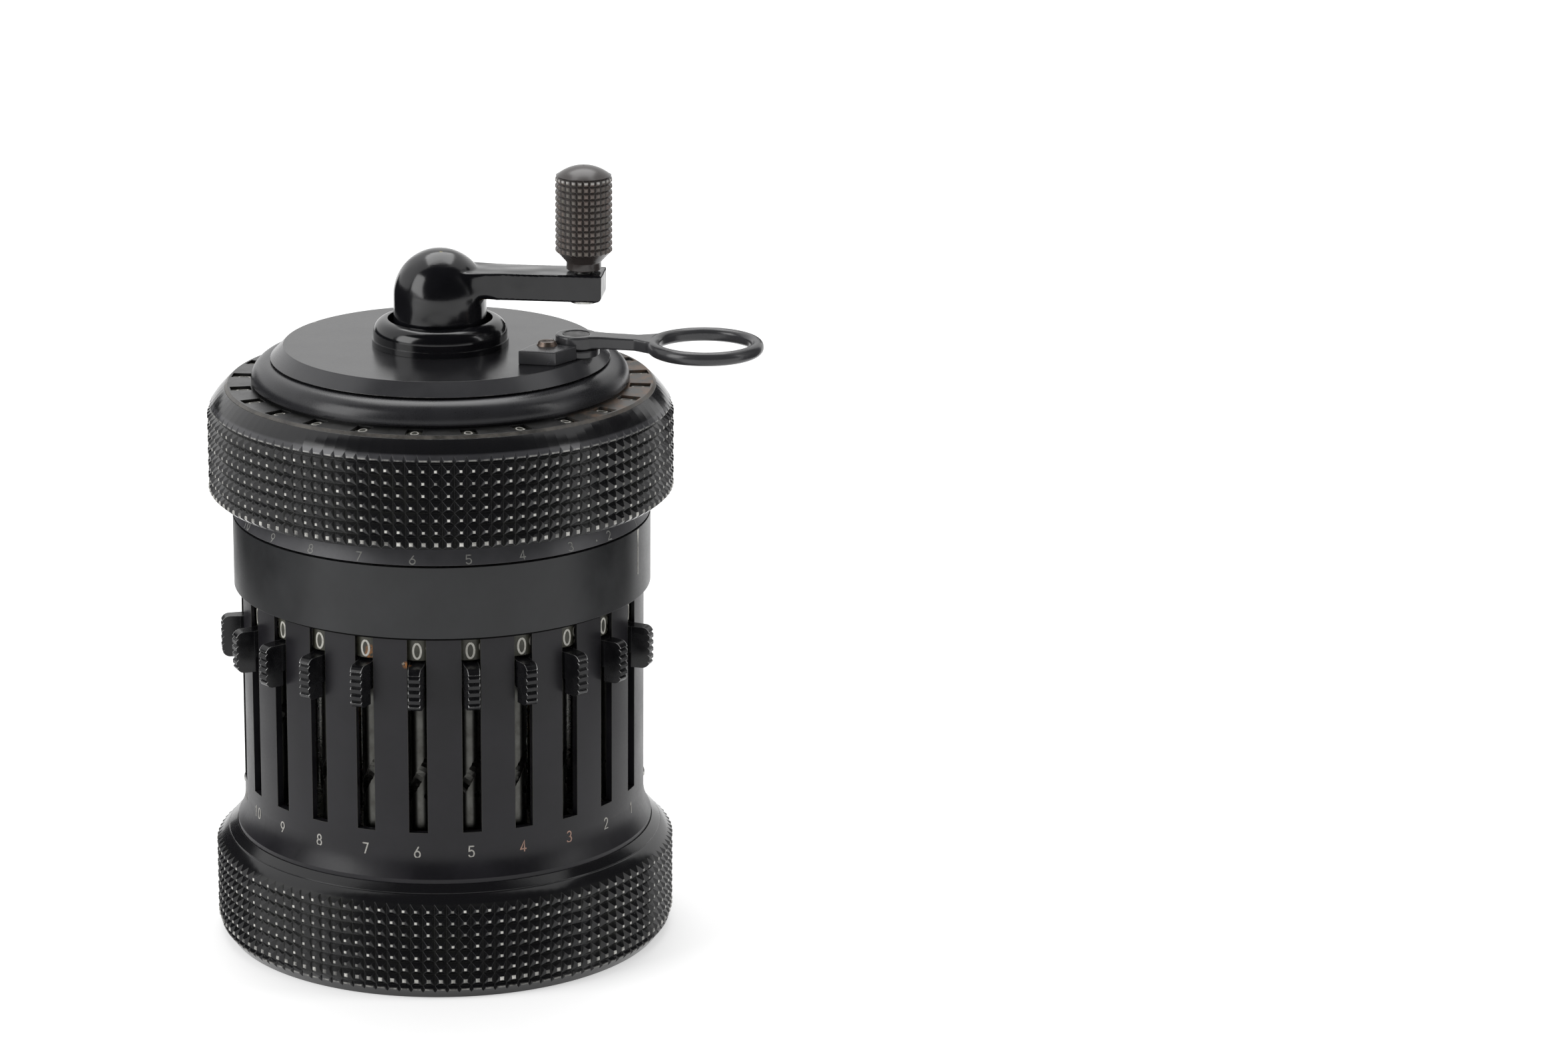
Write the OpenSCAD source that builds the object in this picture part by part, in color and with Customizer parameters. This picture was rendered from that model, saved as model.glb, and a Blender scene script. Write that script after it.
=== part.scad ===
// Hand-held cylindrical calculating machine. Setting sliders stand round a slotted tube and
// turn helical setting shafts. A stepped drum turns inside on the crank's shaft. A carriage
// of numeral dials on top lifts and turns, and carries the clearing plate with its ring.
// Millimetres, +Z up, with the origin on the main axis at the foot of the base ring.
// An azimuth is measured from -Y towards +X, and slider 1 has the largest one.

/* [Knurled rings] */
// Diameter over the knurling
ring_d = 65; // [64.6:0.1:66]
// Depth of the knurling
knurl_depth = 0.8; // [0.3:0.1:1]
// Rows of points on one ring
knurl_rows = 7; // [4:1:10]
// Height of the rows on one ring
knurl_h = 11.9; // [11.6:0.1:12]
// Lower end of the base ring's rows
base_knurl_z = 1.95; // [1.8:0.05:2]
// Height of the base ring's rim
base_rim_z = 15.1; // [14.9:0.1:15.3]

/* [Tube] */
// Outer diameter of the slotted tube
tube_d = 56.6; // [56.5:0.1:56.7]
// Wall of the tube
tube_wall = 1; // [0.9:0.05:1.05]
// Diameter of the tube's flared foot
foot_d = 58.8; // [58.2:0.1:59.2]
// Top of the tube
tube_top = 61.2; // [60.8:0.1:61.3]
// Diameter of the upper collar
collar_d = 58.5; // [58:0.1:59]
// Lower edge of the upper collar
collar_z = 51.2; // [50.6:0.1:52]
// Width of a setting slot
slot_w = 2.6; // [2.5:0.1:2.8]
// Lower end of the setting slots
slot_floor = 23; // [22.5:0.1:23.2]

/* [Setting] */
// Angle from one slot to the next
slot_pitch = 15; // [14.8:0.1:15]
// Circle of the setting shafts, as a diameter
setting_circle_d = 49.5; // [49.4:0.1:49.6]
// Diameter of a setting shaft
setting_shaft_d = 3.6; // [3.4:0.1:3.7]
// Diameter of the numbered drum on a setting shaft
digit_drum_d = 6; // [5.6:0.1:6]
// Travel of a slider from 0 to 9
slider_travel = 18; // [16:0.5:18]
// Width of a slider's knob at its foot
slider_knob_w = 2.1; // [2:0.1:2.6]
// Ridges on a slider's knob
slider_ridges = 6; // [4:1:8]

/* [Drive] */
// Diameter over the teeth of the stepped drum
drum_d = 30.4; // [29.6:0.1:30.4]
// Diameter of the main shaft
main_shaft_d = 5; // [4.6:0.1:5]
// Circle of the transmission shafts, as a diameter
transmission_circle_d = 35; // [34.9:0.1:35.1]
// Diameter over the teeth of a setting gear
gear_d = 3.8; // [3.6:0.1:3.8]
// Teeth of a setting gear
gear_teeth = 10; // [8:1:12]
// Lift of the crank for subtraction
crank_lift = 3; // [2.9:0.1:3.1]

/* [Carriage] */
// Lower edge of the carriage's knurled ring
carriage_z = 64.5; // [64.4:0.1:64.6]
// Height at which the carriage ring's shoulder meets the dial cover
shoulder_top = 79.4; // [79.3:0.1:79.4]
// Top of the dial cover
cover_top = 79.8; // [79.7:0.1:79.8]
// Width of a dial window
window_w = 2.2; // [1.8:0.1:2.6]
// Diameter of a numeral dial
dial_d = 5.4; // [5:0.1:5.4]

/* [Clearing plate] */
// Top of the clearing plate
plate_top = 85.2; // [85:0.1:85.4]
// Diameter of the clearing plate's flat top
plate_d = 43.6; // [43:0.1:44]
// Diameter of the boss in the middle of the plate
boss_d = 18.6; // [18.5:0.1:19]
// Mean diameter of the finger ring
finger_ring_d = 14.3; // [13.6:0.1:14.6]
// Thickness of the finger ring's wire
finger_wire_d = 1.9; // [1.7:0.1:2]
// Distance from the lever's pivot to the middle of the finger ring
lever_reach = 18.1; // [17.5:0.1:18.5]

/* [Crank] */
// Diameter of the crank's hub
hub_d = 12.9; // [12.6:0.1:13]
// Distance from the main axis to the crank's knob
crank_reach = 20.1; // [19:0.1:20.5]
// Thickness of the crank's arm
arm_t = 3.8; // [3.4:0.1:3.9]
// Top of the crank's arm
arm_top = 96; // [95.9:0.1:96.1]
// Diameter of the crank's knob
knob_d = 7.84; // [7.4:0.02:8]
// Top of the crank's knob
knob_top = 110.9; // [110:0.1:111]

/* [Hidden] */
$fn = 48;
LARGE_FN = 120;

slider_count = 11;
result_count = 15;
counter_count = 8;
shaft_names = [for (n = [1:slider_count]) str("setting_shaft_", n)];
slider_names = [for (n = [1:slider_count]) str("slider_", n)];
first_azimuth = 4.5 * slot_pitch;
result_azimuths = [for (k = [0:result_count - 1]) first_azimuth - k * slot_pitch];
counter_azimuths = [for (k = [1:counter_count]) first_azimuth + k * slot_pitch];
dial_azimuths = concat(result_azimuths, counter_azimuths);
rear_azimuth = 180;

// Fits: a running fit, a clearance between moving pieces, a cut's reach past a face,
// and the overlap that joins two shapes of one piece
running = 0.05;
clear = 0.3;
past = 1;
lap = 0.1;

ring_r = ring_d / 2;
tube_r = tube_d / 2;
bore_r = tube_r - tube_wall;
foot_r = foot_d / 2;
foot_z = 12.5;
foot_lip = 16.6;
flare_z = 20.5;
spigot_z = 4;
base_bore_r = tube_r + 0.1;
base_foot_r = 31;
base_rim_r = 30.65;
base_top_z = 16;
base_recess_r = foot_r + 0.1;
knurl_bevel_r = ring_r - 0.38;
knurl_bevel_h = 0.45;

// Base plate and the screws in it
base_plate_t = 2.4;
post_azimuths = [60, 180, 300];
post_circle_r = 22;
post_r = 2.4;
base_screw_r = 1;
base_screw_head_r = 2;
base_screw_head_h = 1.2;
base_screw_len = 6;
screwdriver_w = 0.45;
screwdriver_depth = 0.3;
tube_screw_azimuths = [-97, 97];
tube_screw_z = 20.6;
tube_screw_r = 0.6;
tube_screw_head_r = 0.95;
tube_screw_head_h = 0.45;

// Inner frame
lower_plate_z = 19.5;
lower_plate_t = 2.5;
lower_plate_top = lower_plate_z + lower_plate_t;
upper_plate_z = 54;
upper_plate_t = 2.5;
upper_plate_top = upper_plate_z + upper_plate_t;
neck_top = 65.4;
neck_r = 26.2;
pillar_azimuths = [100, 142.5, 217.5, 258];
pillar_circle_r = 23.4;
pillar_r = 1.6;
pillar_tenon_r = 0.8;
bush_r = 5;
bush_z = 15;
bush_flange_r = 7;
bush_flange_t = 1.5;
column_r = 6;
column_bore_r = 3.65;
column_top = 85.6;
column_flange_r = 9;
column_flange_t = 2;
nut_r = 7;
nut_t = 1.4;
nut_z = column_top - nut_t;

// Setting mechanism
setting_r = setting_circle_d / 2;
setting_shaft_r = setting_shaft_d / 2;
setting_shaft_z = 22.3;
journal_r = 1.2;
journal_end = 0.5;
digit_drum_z = 47.6;
digit_drum_h = 4.1;
digit_relief_r = setting_r + digit_drum_d / 2 + 0.05;
digit_relief_gap = 0.35;
shaft_hole_r = 0.5;
shaft_hole_z = 27.7;
shaft_hole_angle = 35;
shaft_hole_depth = 0.9;
pin_z = 45.6;
pin_r = 0.45;
pin_reach = 0.75;
groove_w = 1.3;
groove_depth = 0.9;
groove_lead = slider_travel / 0.9;
groove_run_out = 0.7;
groove_h = slider_travel + 2 * groove_run_out;
slot_top = 52.4;
knob_gap_r = tube_r + clear;
knob_face_r = 31.3;
knob_bottom = 41.3;
knob_top_z = 47.2;
knob_corner_r = 1.1;
knob_taper = 0.25;
ridge_pitch = 1;
ridge_depth = 0.3;
ridge_gap = 0.35;
neck_w = slot_w - 0.5;
carrier_r = bore_r - clear;
carrier_in_r = setting_r + 1.2;
carrier_z = 43.4;
carrier_h = 3.8;
arm_side = setting_shaft_r + clear + 0.05;
arm_side_t = 0.7;
arm_z = 44.6;
arm_h = 2;
bridge_r = 20.2;
bridge_w = 1;

// Reversing lever at the back
reverse_slot_z = 38.6;
reverse_slot_h = 11;
reverse_z = 43.9;
reverse_top = 49.3;
reverse_w = 4.2;
reverse_ridges = 4;
reverse_neck_edge = 0.4;
reverse_guide_w = 5.2;
reverse_guide_t = 1;

// Transmission
transmission_r = transmission_circle_d / 2;
transmission_shaft_r = 0.9;
transmission_top = 60.9;
gear_hub_r = 1.5;
gear_t = 0.8;
gear_tooth_h = 0.5;
pinion_z = upper_plate_top;
pinion_h = 2;
carry_azimuths = [for (k = [1:result_count - 1]) first_azimuth - (k - 0.5) * slot_pitch];
carry_pin_r = 0.55;
carry_pin_z = 49.5;
carry_pin_h = 9;
carry_collar_r = 1;
carry_collar_z = 52.6;
carry_collar_h = 1.1;
carry_circle_r = 19.8;
drum_core_r = drum_d / 2 - 1.5;
drum_z = 25;
drum_top = 45.2;
drum_hub_r = 5;
drum_hub_top = 49;
drum_tooth_w = 0.7;
drum_tooth_pitch = 4.6;
row_t = 0.8;
main_shaft_r = main_shaft_d / 2;
main_shaft_z = 13.5;
main_shaft_top = 92;
shaft_collar_r = 3.3;
shaft_collar_z = 56.6;
shaft_collar_h = 1.1;
sleeve_r = column_bore_r - running;
sleeve_z = 58;
sleeve_top = 85.3;

// Carriage
skirt_r = 27.4;
neck_outer_r = skirt_r - clear;
skirt_z = tube_top + clear;
skirt_foot_r = 29.2;
skirt_top_r = 28.1;
carriage_floor = 66.4;
carriage_bore_r = 30;
shoulder_bow_r = 10;
frame_floor_t = 1.6;
frame_hub_r = 9.4;
frame_hub_z = upper_plate_top + column_flange_t + running;
frame_hub_top = 80;
sleeve_flange_r = 7.4;
sleeve_flange_z = 70.5;
sleeve_flange_top = 72;
sleeve_wall_r = 6.9;
carriage_sleeve_z = 60;
cover_z = shoulder_top;
cover_t = cover_top - cover_z;
cover_edge = 0.4;
cover_inner_r = 23;
window_r = 26.4;
window_len = 2.9;
dial_axis_z = 76.85;
dial_in_r = 26.6;
dial_len = 2.6;
dial_axle_r = 0.5;
dial_axle_in = 22;
dial_gear_h = 1.3;
dial_gear_r = 1.9;
dial_gear_tip_r = 0.8;
dial_bearing_r = 23.4;
dial_bearing_t = 1.2;
carriage_shaft_circle_r = 20.9;
carriage_shaft_r = 0.7;
carriage_shaft_z = 62.4;
carriage_shaft_h = 12.15;
carriage_gear_r = 1.4;
carriage_tooth_h = 0.4;
carriage_gear_h = 1.8;
carriage_gear_teeth = 8;
carriage_bevel_r = 1.6;
carriage_bevel_tip_r = 0.9;
carriage_bevel_h = 1.4;
flange_r = 26.3;
flange_step_r = 25.5;
flange_step_h = 0.45;
flange_top = 83.1;
flange_bore_r = 9.6;
flange_edge_r = 2.6;

// Spring that presses the carriage down
spring_r = 6.6;
spring_wire_r = 0.4;
spring_turns = 6;
spring_z = sleeve_flange_top + spring_wire_r;
spring_top = nut_z - spring_wire_r;
spring_sides = 6;
spring_steps_per_turn = 16;

// Clearing plate and its lever
plate_r = plate_d / 2;
plate_z = flange_top + clear;
plate_slope = 1.8;
plate_bore_r = nut_r + clear;
plate_spigot_r = 9.5;
plate_spigot_z = frame_hub_top + 0.2;
boss_r = boss_d / 2;
boss_top = 88.8;
boss_edge_r = 1.9;
boss_foot_h = 0.8;
boss_foot_w = 0.2;
pivot = [18.7, -7];
pivot_r = 1.3;
pivot_shank_r = 0.8;
pivot_head_r = 1.8;
pivot_head_h = 0.5;
eye_r = 2.9;
eye_z = 86.3;
eye_top = 88.1;
lever_z = 87.25;
lever_t = 1.7;
lever_angle = -15;
bracket_top = 87.1;
leaf_top = 86.2;
bracket_outline = [[10.6, -12.6], [15.6, -13.8], [18.6, -10.4], [15.3, -5.4], [12.2, -9.6]];
bracket_screw = [14.6, -9.4];
bracket_screw_r = 0.7;
bracket_head_r = 1.45;
bracket_head_h = 0.55;
bracket_head_taper = 0.35;

// Crank
crank_angle = -8.9;
crank_pin_z = 90;
crank_pin_r = 0.8;
crank_pin_len = hub_d - 0.4;
hub_r = hub_d / 2;
hub_z = 86.4;
hub_shoulder = 92.15;
arm_root_w = 8.8;
arm_w = 6.1;
arm_end = 22.85;
arm_taper_end = 9;
arm_corner = 0.6;
knob_axle_r = 1.25;
knob_axle_top = 106.8;
knob_axle_head_r = 1.9;
knob_axle_head_h = 0.5;
knob_r = knob_d / 2;
knob_z = arm_top + clear;
knob_neck_r = 2.4;
knob_rows = 12;
knob_bump = 0.3;
knob_taper_z = 97.3;
knob_grip_z = 98.7;
knob_grip_top = 109.4;

BLACK = "#26262a";
SATIN = "#3a3a3f";
STEEL = "#9a9a98";
BRASS = "#b08d4a";

// The azimuth of a slider and of its setting shaft
function slider_azimuth(n) = first_azimuth - (n - 1) * slot_pitch;

// Points up one side of a ring with rows of ridges
function ridged_side(r, depth, z0, z1, rows) =
    let (pitch = (z1 - z0) / rows)
    concat(
        [
            for (k = [0:rows - 1], half = [0, 0.5])
                [r - depth * (1 - 2 * half), z0 + (k + half) * pitch]
        ],
        [[r - depth, z1]]
    );

// Outline of a gear with straight-flanked teeth
function gear_outline(tip_r, root_r, teeth) =
    let (step = 360 / teeth)
    [
        for (k = [0:teeth - 1], corner = [[-0.33, 0], [-0.14, 1], [0.14, 1], [0.33, 0]])
            let (a = (k + corner[0]) * step, r = corner[1] == 0 ? root_r : tip_r)
            [r * cos(a), r * sin(a)]
    ];

// Turns its children from the front, at -Y, to an azimuth
module at_azimuth(a) {
    rotate([0, 0, a]) children();
}

// Puts its children on a circle round the main axis
module on_circle(azimuths, r) {
    for (a = azimuths) at_azimuth(a) translate([0, -r, 0]) children();
}

// A ring round the main axis
module ring(inner_r, outer_r, z, h) {
    rotate_extrude($fn = LARGE_FN) translate([inner_r, z]) square([outer_r - inner_r, h]);
}

// The outer part of a circle that bows out past the straight line from p up to q
module bowed_edge(p, q, radius) {
    half = norm(q - p) / 2;
    side = [q.y - p.y, p.x - q.x] / (2 * half);
    middle = (p + q) / 2 - side * sqrt(radius * radius - half * half);
    intersection() {
        translate(middle) circle(radius, $fn = 4 * LARGE_FN);
        polygon([p - side * lap, p + side * past, q + side * past, q]);
    }
}

module slider_slot(a, floor_z, top_z) {
    at_azimuth(a)
        translate([-slot_w / 2, -foot_r - past, floor_z])
            cube([slot_w, foot_r - bore_r + 2 * past, top_z - floor_z]);
}

module base_ring() {
    knurl_end = base_knurl_z + knurl_h;
    color(BLACK) rotate_extrude($fn = LARGE_FN) polygon(concat(
        [[base_bore_r, 0], [base_foot_r, 0], [knurl_bevel_r, base_knurl_z - knurl_bevel_h]],
        ridged_side(ring_r, knurl_depth, base_knurl_z, knurl_end, knurl_rows),
        [
            [base_rim_r, base_rim_z], [base_recess_r, base_top_z],
            [base_recess_r, foot_z], [base_bore_r, foot_z]
        ]
    ));
}

module base_screw_shape() {
    cylinder(h = base_screw_head_h, r1 = base_screw_head_r, r2 = base_screw_r);
    translate([0, 0, base_screw_head_h])
        cylinder(h = base_screw_len - base_screw_head_h, r = base_screw_r);
}

// The base plate, with the posts that carry the inner frame
module base_plate() {
    color(BLACK) difference() {
        union() {
            cylinder(h = base_plate_t, r = base_bore_r, $fn = LARGE_FN);
            on_circle(post_azimuths, post_circle_r) translate([0, 0, lap])
                cylinder(h = lower_plate_z - lap, r = post_r);
        }
        on_circle(post_azimuths, post_circle_r) base_screw_shape();
    }
}

module base_screws() {
    color(STEEL) on_circle(post_azimuths, post_circle_r) difference() {
        base_screw_shape();
        translate([-post_r, -screwdriver_w / 2, -past])
            cube([2 * post_r, screwdriver_w, past + screwdriver_depth]);
    }
}

module tube_screw_shape() {
    translate([0, 0, tube_screw_z]) rotate([90, 0, 0]) {
        translate([0, 0, bore_r - tube_screw_r])
            cylinder(h = tube_r - bore_r + tube_screw_r, r = tube_screw_r);
        translate([0, 0, tube_r])
            cylinder(h = tube_screw_head_h, r1 = tube_screw_head_r, r2 = tube_screw_r);
    }
}

// The tube is thinner inside where the numbered drums stand in its slots
module body_tube() {
    color(SATIN) difference() {
        rotate_extrude($fn = LARGE_FN) {
            translate([bore_r, spigot_z]) square([tube_wall, tube_top - spigot_z]);
            translate([bore_r, foot_z]) square([foot_r - bore_r, foot_lip - foot_z]);
            flare_profile();
        }
        for (n = [1:slider_count]) slider_slot(slider_azimuth(n), slot_floor, slot_top);
        slider_slot(rear_azimuth, reverse_slot_z, reverse_slot_z + reverse_slot_h);
        ring(bore_r - past, digit_relief_r, digit_drum_z - digit_relief_gap, digit_drum_h + 2 * digit_relief_gap);
        for (a = tube_screw_azimuths)
            at_azimuth(a) translate([0, 0, tube_screw_z]) rotate([90, 0, 0])
                cylinder(h = tube_r + past, r = tube_screw_r);
    }
}

// The tube's foot widens in a hollow curve
module flare_profile() {
    width = foot_r - tube_r;
    height = flare_z - foot_lip;
    radius = (width * width + height * height) / (2 * width);
    difference() {
        translate([bore_r, foot_lip - lap]) square([foot_r - bore_r, height + lap]);
        translate([tube_r + radius, flare_z]) circle(radius, $fn = 2 * LARGE_FN);
    }
}

module tube_screws() {
    color(STEEL) for (a = tube_screw_azimuths) at_azimuth(a) tube_screw_shape();
}

module upper_collar() {
    color(BLACK) ring(tube_r, collar_d / 2, collar_z, tube_top - collar_z);
}

module lower_plate() {
    color(STEEL) translate([0, 0, lower_plate_z]) difference() {
        cylinder(h = lower_plate_t, r = bore_r, $fn = LARGE_FN);
        translate([0, 0, -past]) cylinder(h = lower_plate_t + 2 * past, r = bush_r);
        shaft_holes(lower_plate_t);
        on_circle(pillar_azimuths, pillar_circle_r) translate([0, 0, -past])
            cylinder(h = lower_plate_t + 2 * past, r = pillar_tenon_r);
        translate([0, 0, -lower_plate_z])
            for (a = tube_screw_azimuths) at_azimuth(a) tube_screw_shape();
    }
}

// Bearings of the setting shafts and the transmission shafts in a plate that starts at z = 0
module shaft_holes(t) {
    for (n = [1:slider_count])
        at_azimuth(slider_azimuth(n)) translate([0, -setting_r, -past])
            cylinder(h = t + 2 * past, r = journal_r + running);
    on_circle(dial_azimuths, transmission_r) translate([0, 0, -past])
        cylinder(h = t + 2 * past, r = transmission_shaft_r + running);
}

module upper_plate() {
    color(STEEL) difference() {
        union() {
            translate([0, 0, upper_plate_z])
                cylinder(h = upper_plate_t, r = bore_r, $fn = LARGE_FN);
            ring(neck_r, neck_outer_r, upper_plate_top - lap, neck_top - upper_plate_top + lap);
        }
        translate([0, 0, upper_plate_z]) {
            shaft_holes(upper_plate_t);
            translate([0, 0, -past]) cylinder(h = upper_plate_t + 2 * past, r = column_r);
            on_circle(carry_azimuths, carry_circle_r) translate([0, 0, -past])
                cylinder(h = upper_plate_t + 2 * past, r = carry_pin_r);
        }
    }
}

module frame_pillars() {
    color(STEEL) on_circle(pillar_azimuths, pillar_circle_r) {
        translate([0, 0, lower_plate_top]) cylinder(h = upper_plate_z - lower_plate_top, r = pillar_r);
        translate([0, 0, lower_plate_z]) cylinder(h = lower_plate_t, r = pillar_tenon_r);
    }
}

module lower_bush() {
    color(BRASS) difference() {
        union() {
            translate([0, 0, bush_z]) cylinder(h = lower_plate_top - bush_z, r = bush_r);
            translate([0, 0, lower_plate_z - bush_flange_t])
                cylinder(h = bush_flange_t, r = bush_flange_r);
        }
        translate([0, 0, bush_z - past])
            cylinder(h = lower_plate_top - bush_z + 2 * past, r = main_shaft_r + running);
    }
}

module center_column() {
    color(STEEL) difference() {
        union() {
            translate([0, 0, upper_plate_z]) cylinder(h = column_top - upper_plate_z, r = column_r);
            translate([0, 0, upper_plate_top]) cylinder(h = column_flange_t, r = column_flange_r);
        }
        translate([0, 0, upper_plate_z - past])
            cylinder(h = column_top - upper_plate_z + 2 * past, r = column_bore_r);
    }
}

// The nut on the column that the spring presses against
module column_nut() {
    color(BRASS) ring(column_r, nut_r, nut_z, nut_t);
}

module pinion(h) {
    linear_extrude(h) polygon(gear_outline(gear_d / 2, gear_d / 2 - gear_tooth_h, gear_teeth));
}

module transmission_shaft() {
    translate([0, 0, lower_plate_z])
        cylinder(h = transmission_top - lower_plate_z, r = transmission_shaft_r);
    translate([0, 0, pinion_z]) pinion(pinion_h);
}

module transmission_shafts() {
    color(STEEL) on_circle(result_azimuths, transmission_r) transmission_shaft();
}

module counter_shafts() {
    color(STEEL) on_circle(counter_azimuths, transmission_r) {
        transmission_shaft();
        translate([0, 0, pin_z - gear_t / 2]) pinion(gear_t);
    }
}

// Pins that stand ready to carry a ten to the next place
module carry_pins() {
    color(STEEL) on_circle(carry_azimuths, carry_circle_r) {
        translate([0, 0, carry_pin_z]) cylinder(h = carry_pin_h, r = carry_pin_r);
        translate([0, 0, carry_collar_z]) cylinder(h = carry_collar_h, r = carry_collar_r);
    }
}

module lift_sleeve() {
    color(BRASS) difference() {
        translate([0, 0, sleeve_z]) cylinder(h = sleeve_top - sleeve_z, r = sleeve_r);
        translate([0, 0, sleeve_z - past])
            cylinder(h = sleeve_top - sleeve_z + 2 * past, r = main_shaft_r + running);
    }
}

module main_shaft() {
    color(STEEL) difference() {
        union() {
            translate([0, 0, main_shaft_z])
                cylinder(h = main_shaft_top - main_shaft_z, r = main_shaft_r);
            translate([0, 0, shaft_collar_z]) cylinder(h = shaft_collar_h, r = shaft_collar_r);
        }
        crank_pin_shape();
    }
}

// One toothed disc of the stepped drum
module drum_row(z, teeth) {
    translate([0, 0, z - row_t / 2]) linear_extrude(row_t) {
        circle(drum_core_r, $fn = LARGE_FN);
        for (k = [1:teeth])
            rotate(k * drum_tooth_pitch)
                translate([0, -drum_tooth_w / 2]) square([drum_d / 2, drum_tooth_w]);
    }
}

// A row for each digit from 1 to 9, and its nines' complement in the gaps between them
module stepped_drum() {
    digit_step = slider_travel / 9;
    color(BRASS) difference() {
        union() {
            translate([0, 0, drum_z])
                cylinder(h = drum_top - drum_z, r = drum_core_r, $fn = LARGE_FN);
            translate([0, 0, drum_z]) cylinder(h = drum_hub_top - drum_z, r = drum_hub_r);
            for (digit = [1:9]) drum_row(pin_z - digit * digit_step, digit);
            for (digit = [0:8]) drum_row(pin_z - digit * digit_step - crank_lift, 9 - digit);
        }
        translate([0, 0, drum_z - past])
            cylinder(h = drum_hub_top - drum_z + 2 * past, r = main_shaft_r);
    }
}

module crank_pin_shape() {
    rotate([0, 0, crank_angle]) translate([0, 0, crank_pin_z]) rotate([90, 0, 0])
        cylinder(h = crank_pin_len, r = crank_pin_r, center = true);
}

module crank_pin() {
    color(STEEL) crank_pin_shape();
}

module crank() {
    color(BLACK) difference() {
        union() {
            translate([0, 0, hub_z]) cylinder(h = hub_shoulder - hub_z, r = hub_r, $fn = LARGE_FN);
            translate([0, 0, hub_shoulder]) sphere(hub_r, $fn = LARGE_FN);
            rotate([0, 0, crank_angle]) crank_arm();
        }
        translate([0, 0, hub_z - past]) cylinder(h = main_shaft_top - hub_z + past, r = main_shaft_r);
        crank_pin_shape();
        rotate([0, 0, crank_angle]) translate([crank_reach, 0, arm_top - arm_t - past])
            cylinder(h = arm_t + 2 * past, r = knob_axle_r);
    }
}

// The arm tapers from the hub, and its lower corner is cut at the end
module crank_arm() {
    bottom = arm_top - arm_t;
    intersection() {
        translate([0, 0, bottom]) linear_extrude(arm_t) polygon([
            [0, -arm_root_w / 2], [arm_taper_end, -arm_w / 2], [arm_end, -arm_w / 2],
            [arm_end, arm_w / 2], [arm_taper_end, arm_w / 2], [0, arm_root_w / 2]
        ]);
        rotate([90, 0, 0]) translate([0, 0, -arm_root_w]) linear_extrude(2 * arm_root_w) polygon([
            [0, bottom], [arm_end - arm_corner, bottom],
            [arm_end - arm_corner / 3, bottom + arm_corner / 3],
            [arm_end, bottom + arm_corner], [arm_end, arm_top], [0, arm_top]
        ]);
    }
}

module knob_axle() {
    bottom = arm_top - arm_t;
    color(STEEL) rotate([0, 0, crank_angle]) translate([crank_reach, 0, 0]) {
        translate([0, 0, bottom]) cylinder(h = knob_axle_top - bottom, r = knob_axle_r);
        translate([0, 0, bottom - knob_axle_head_h])
            cylinder(h = knob_axle_head_h, r = knob_axle_head_r);
    }
}

module crank_knob() {
    cap = knob_top - knob_grip_top;
    cap_r = (knob_r * knob_r + cap * cap) / (2 * cap);
    color("#2b2522") rotate([0, 0, crank_angle]) translate([crank_reach, 0, 0]) difference() {
        rotate_extrude() {
            polygon(concat(
                [[0, knob_z], [knob_neck_r, knob_z], [knob_neck_r, knob_taper_z]],
                ridged_side(knob_r, knob_bump, knob_grip_z, knob_grip_top, knob_rows),
                [[0, knob_grip_top]]
            ));
            intersection() {
                translate([0, knob_top - cap_r]) circle(cap_r, $fn = LARGE_FN);
                translate([0, knob_grip_top - lap]) square([knob_r - knob_bump, cap + past]);
            }
        }
        translate([0, 0, knob_z - past])
            cylinder(h = knob_axle_top + clear - knob_z + past, r = knob_axle_r + running);
    }
}

// The sleeve slides on the column, and the frame's hub turns on it and hangs from its flange
module carriage_sleeve() {
    color(BRASS) {
        ring(column_r + running, sleeve_wall_r, carriage_sleeve_z, sleeve_flange_top - carriage_sleeve_z);
        ring(column_r + running, sleeve_flange_r, sleeve_flange_z, sleeve_flange_top - sleeve_flange_z);
    }
}

// Knurled ring with a sloping shoulder, bored out for the dials
module carriage_ring() {
    knurl_end = carriage_z + knurl_h;
    edge = [knurl_bevel_r, knurl_end + knurl_bevel_h];
    rim = [carriage_bore_r, shoulder_top];
    color(BLACK) rotate_extrude($fn = LARGE_FN) {
        polygon(concat(
            [[skirt_r, carriage_floor], [skirt_r, carriage_z]],
            ridged_side(ring_r, knurl_depth, carriage_z, knurl_end, knurl_rows),
            [edge, rim, [carriage_bore_r, carriage_floor]]
        ));
        bowed_edge(edge, rim, shoulder_bow_r);
    }
}

module number_band() {
    color(BLACK) rotate_extrude($fn = LARGE_FN) polygon([
        [skirt_r, skirt_z], [skirt_foot_r, skirt_z], [skirt_top_r, carriage_z], [skirt_r, carriage_z]
    ]);
}

module carriage_frame() {
    color(STEEL) difference() {
        union() {
            ring(sleeve_wall_r + running, frame_hub_r, frame_hub_z, frame_hub_top - frame_hub_z);
            ring(frame_hub_r - lap, carriage_bore_r, carriage_floor, frame_floor_t);
            ring(dial_bearing_r, dial_bearing_r + dial_bearing_t, carriage_floor, cover_z - carriage_floor);
        }
        translate([0, 0, sleeve_flange_z])
            cylinder(h = frame_hub_top - sleeve_flange_z + past, r = sleeve_flange_r + running);
        on_circle(dial_azimuths, carriage_shaft_circle_r) translate([0, 0, carriage_floor - past])
            cylinder(h = frame_floor_t + 2 * past, r = carriage_shaft_r + running);
        for (a = dial_azimuths)
            at_azimuth(a) translate([0, past - dial_bearing_r, dial_axis_z]) rotate([90, 0, 0])
                cylinder(h = dial_bearing_t + 2 * past, r = dial_axle_r + running);
    }
}

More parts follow.
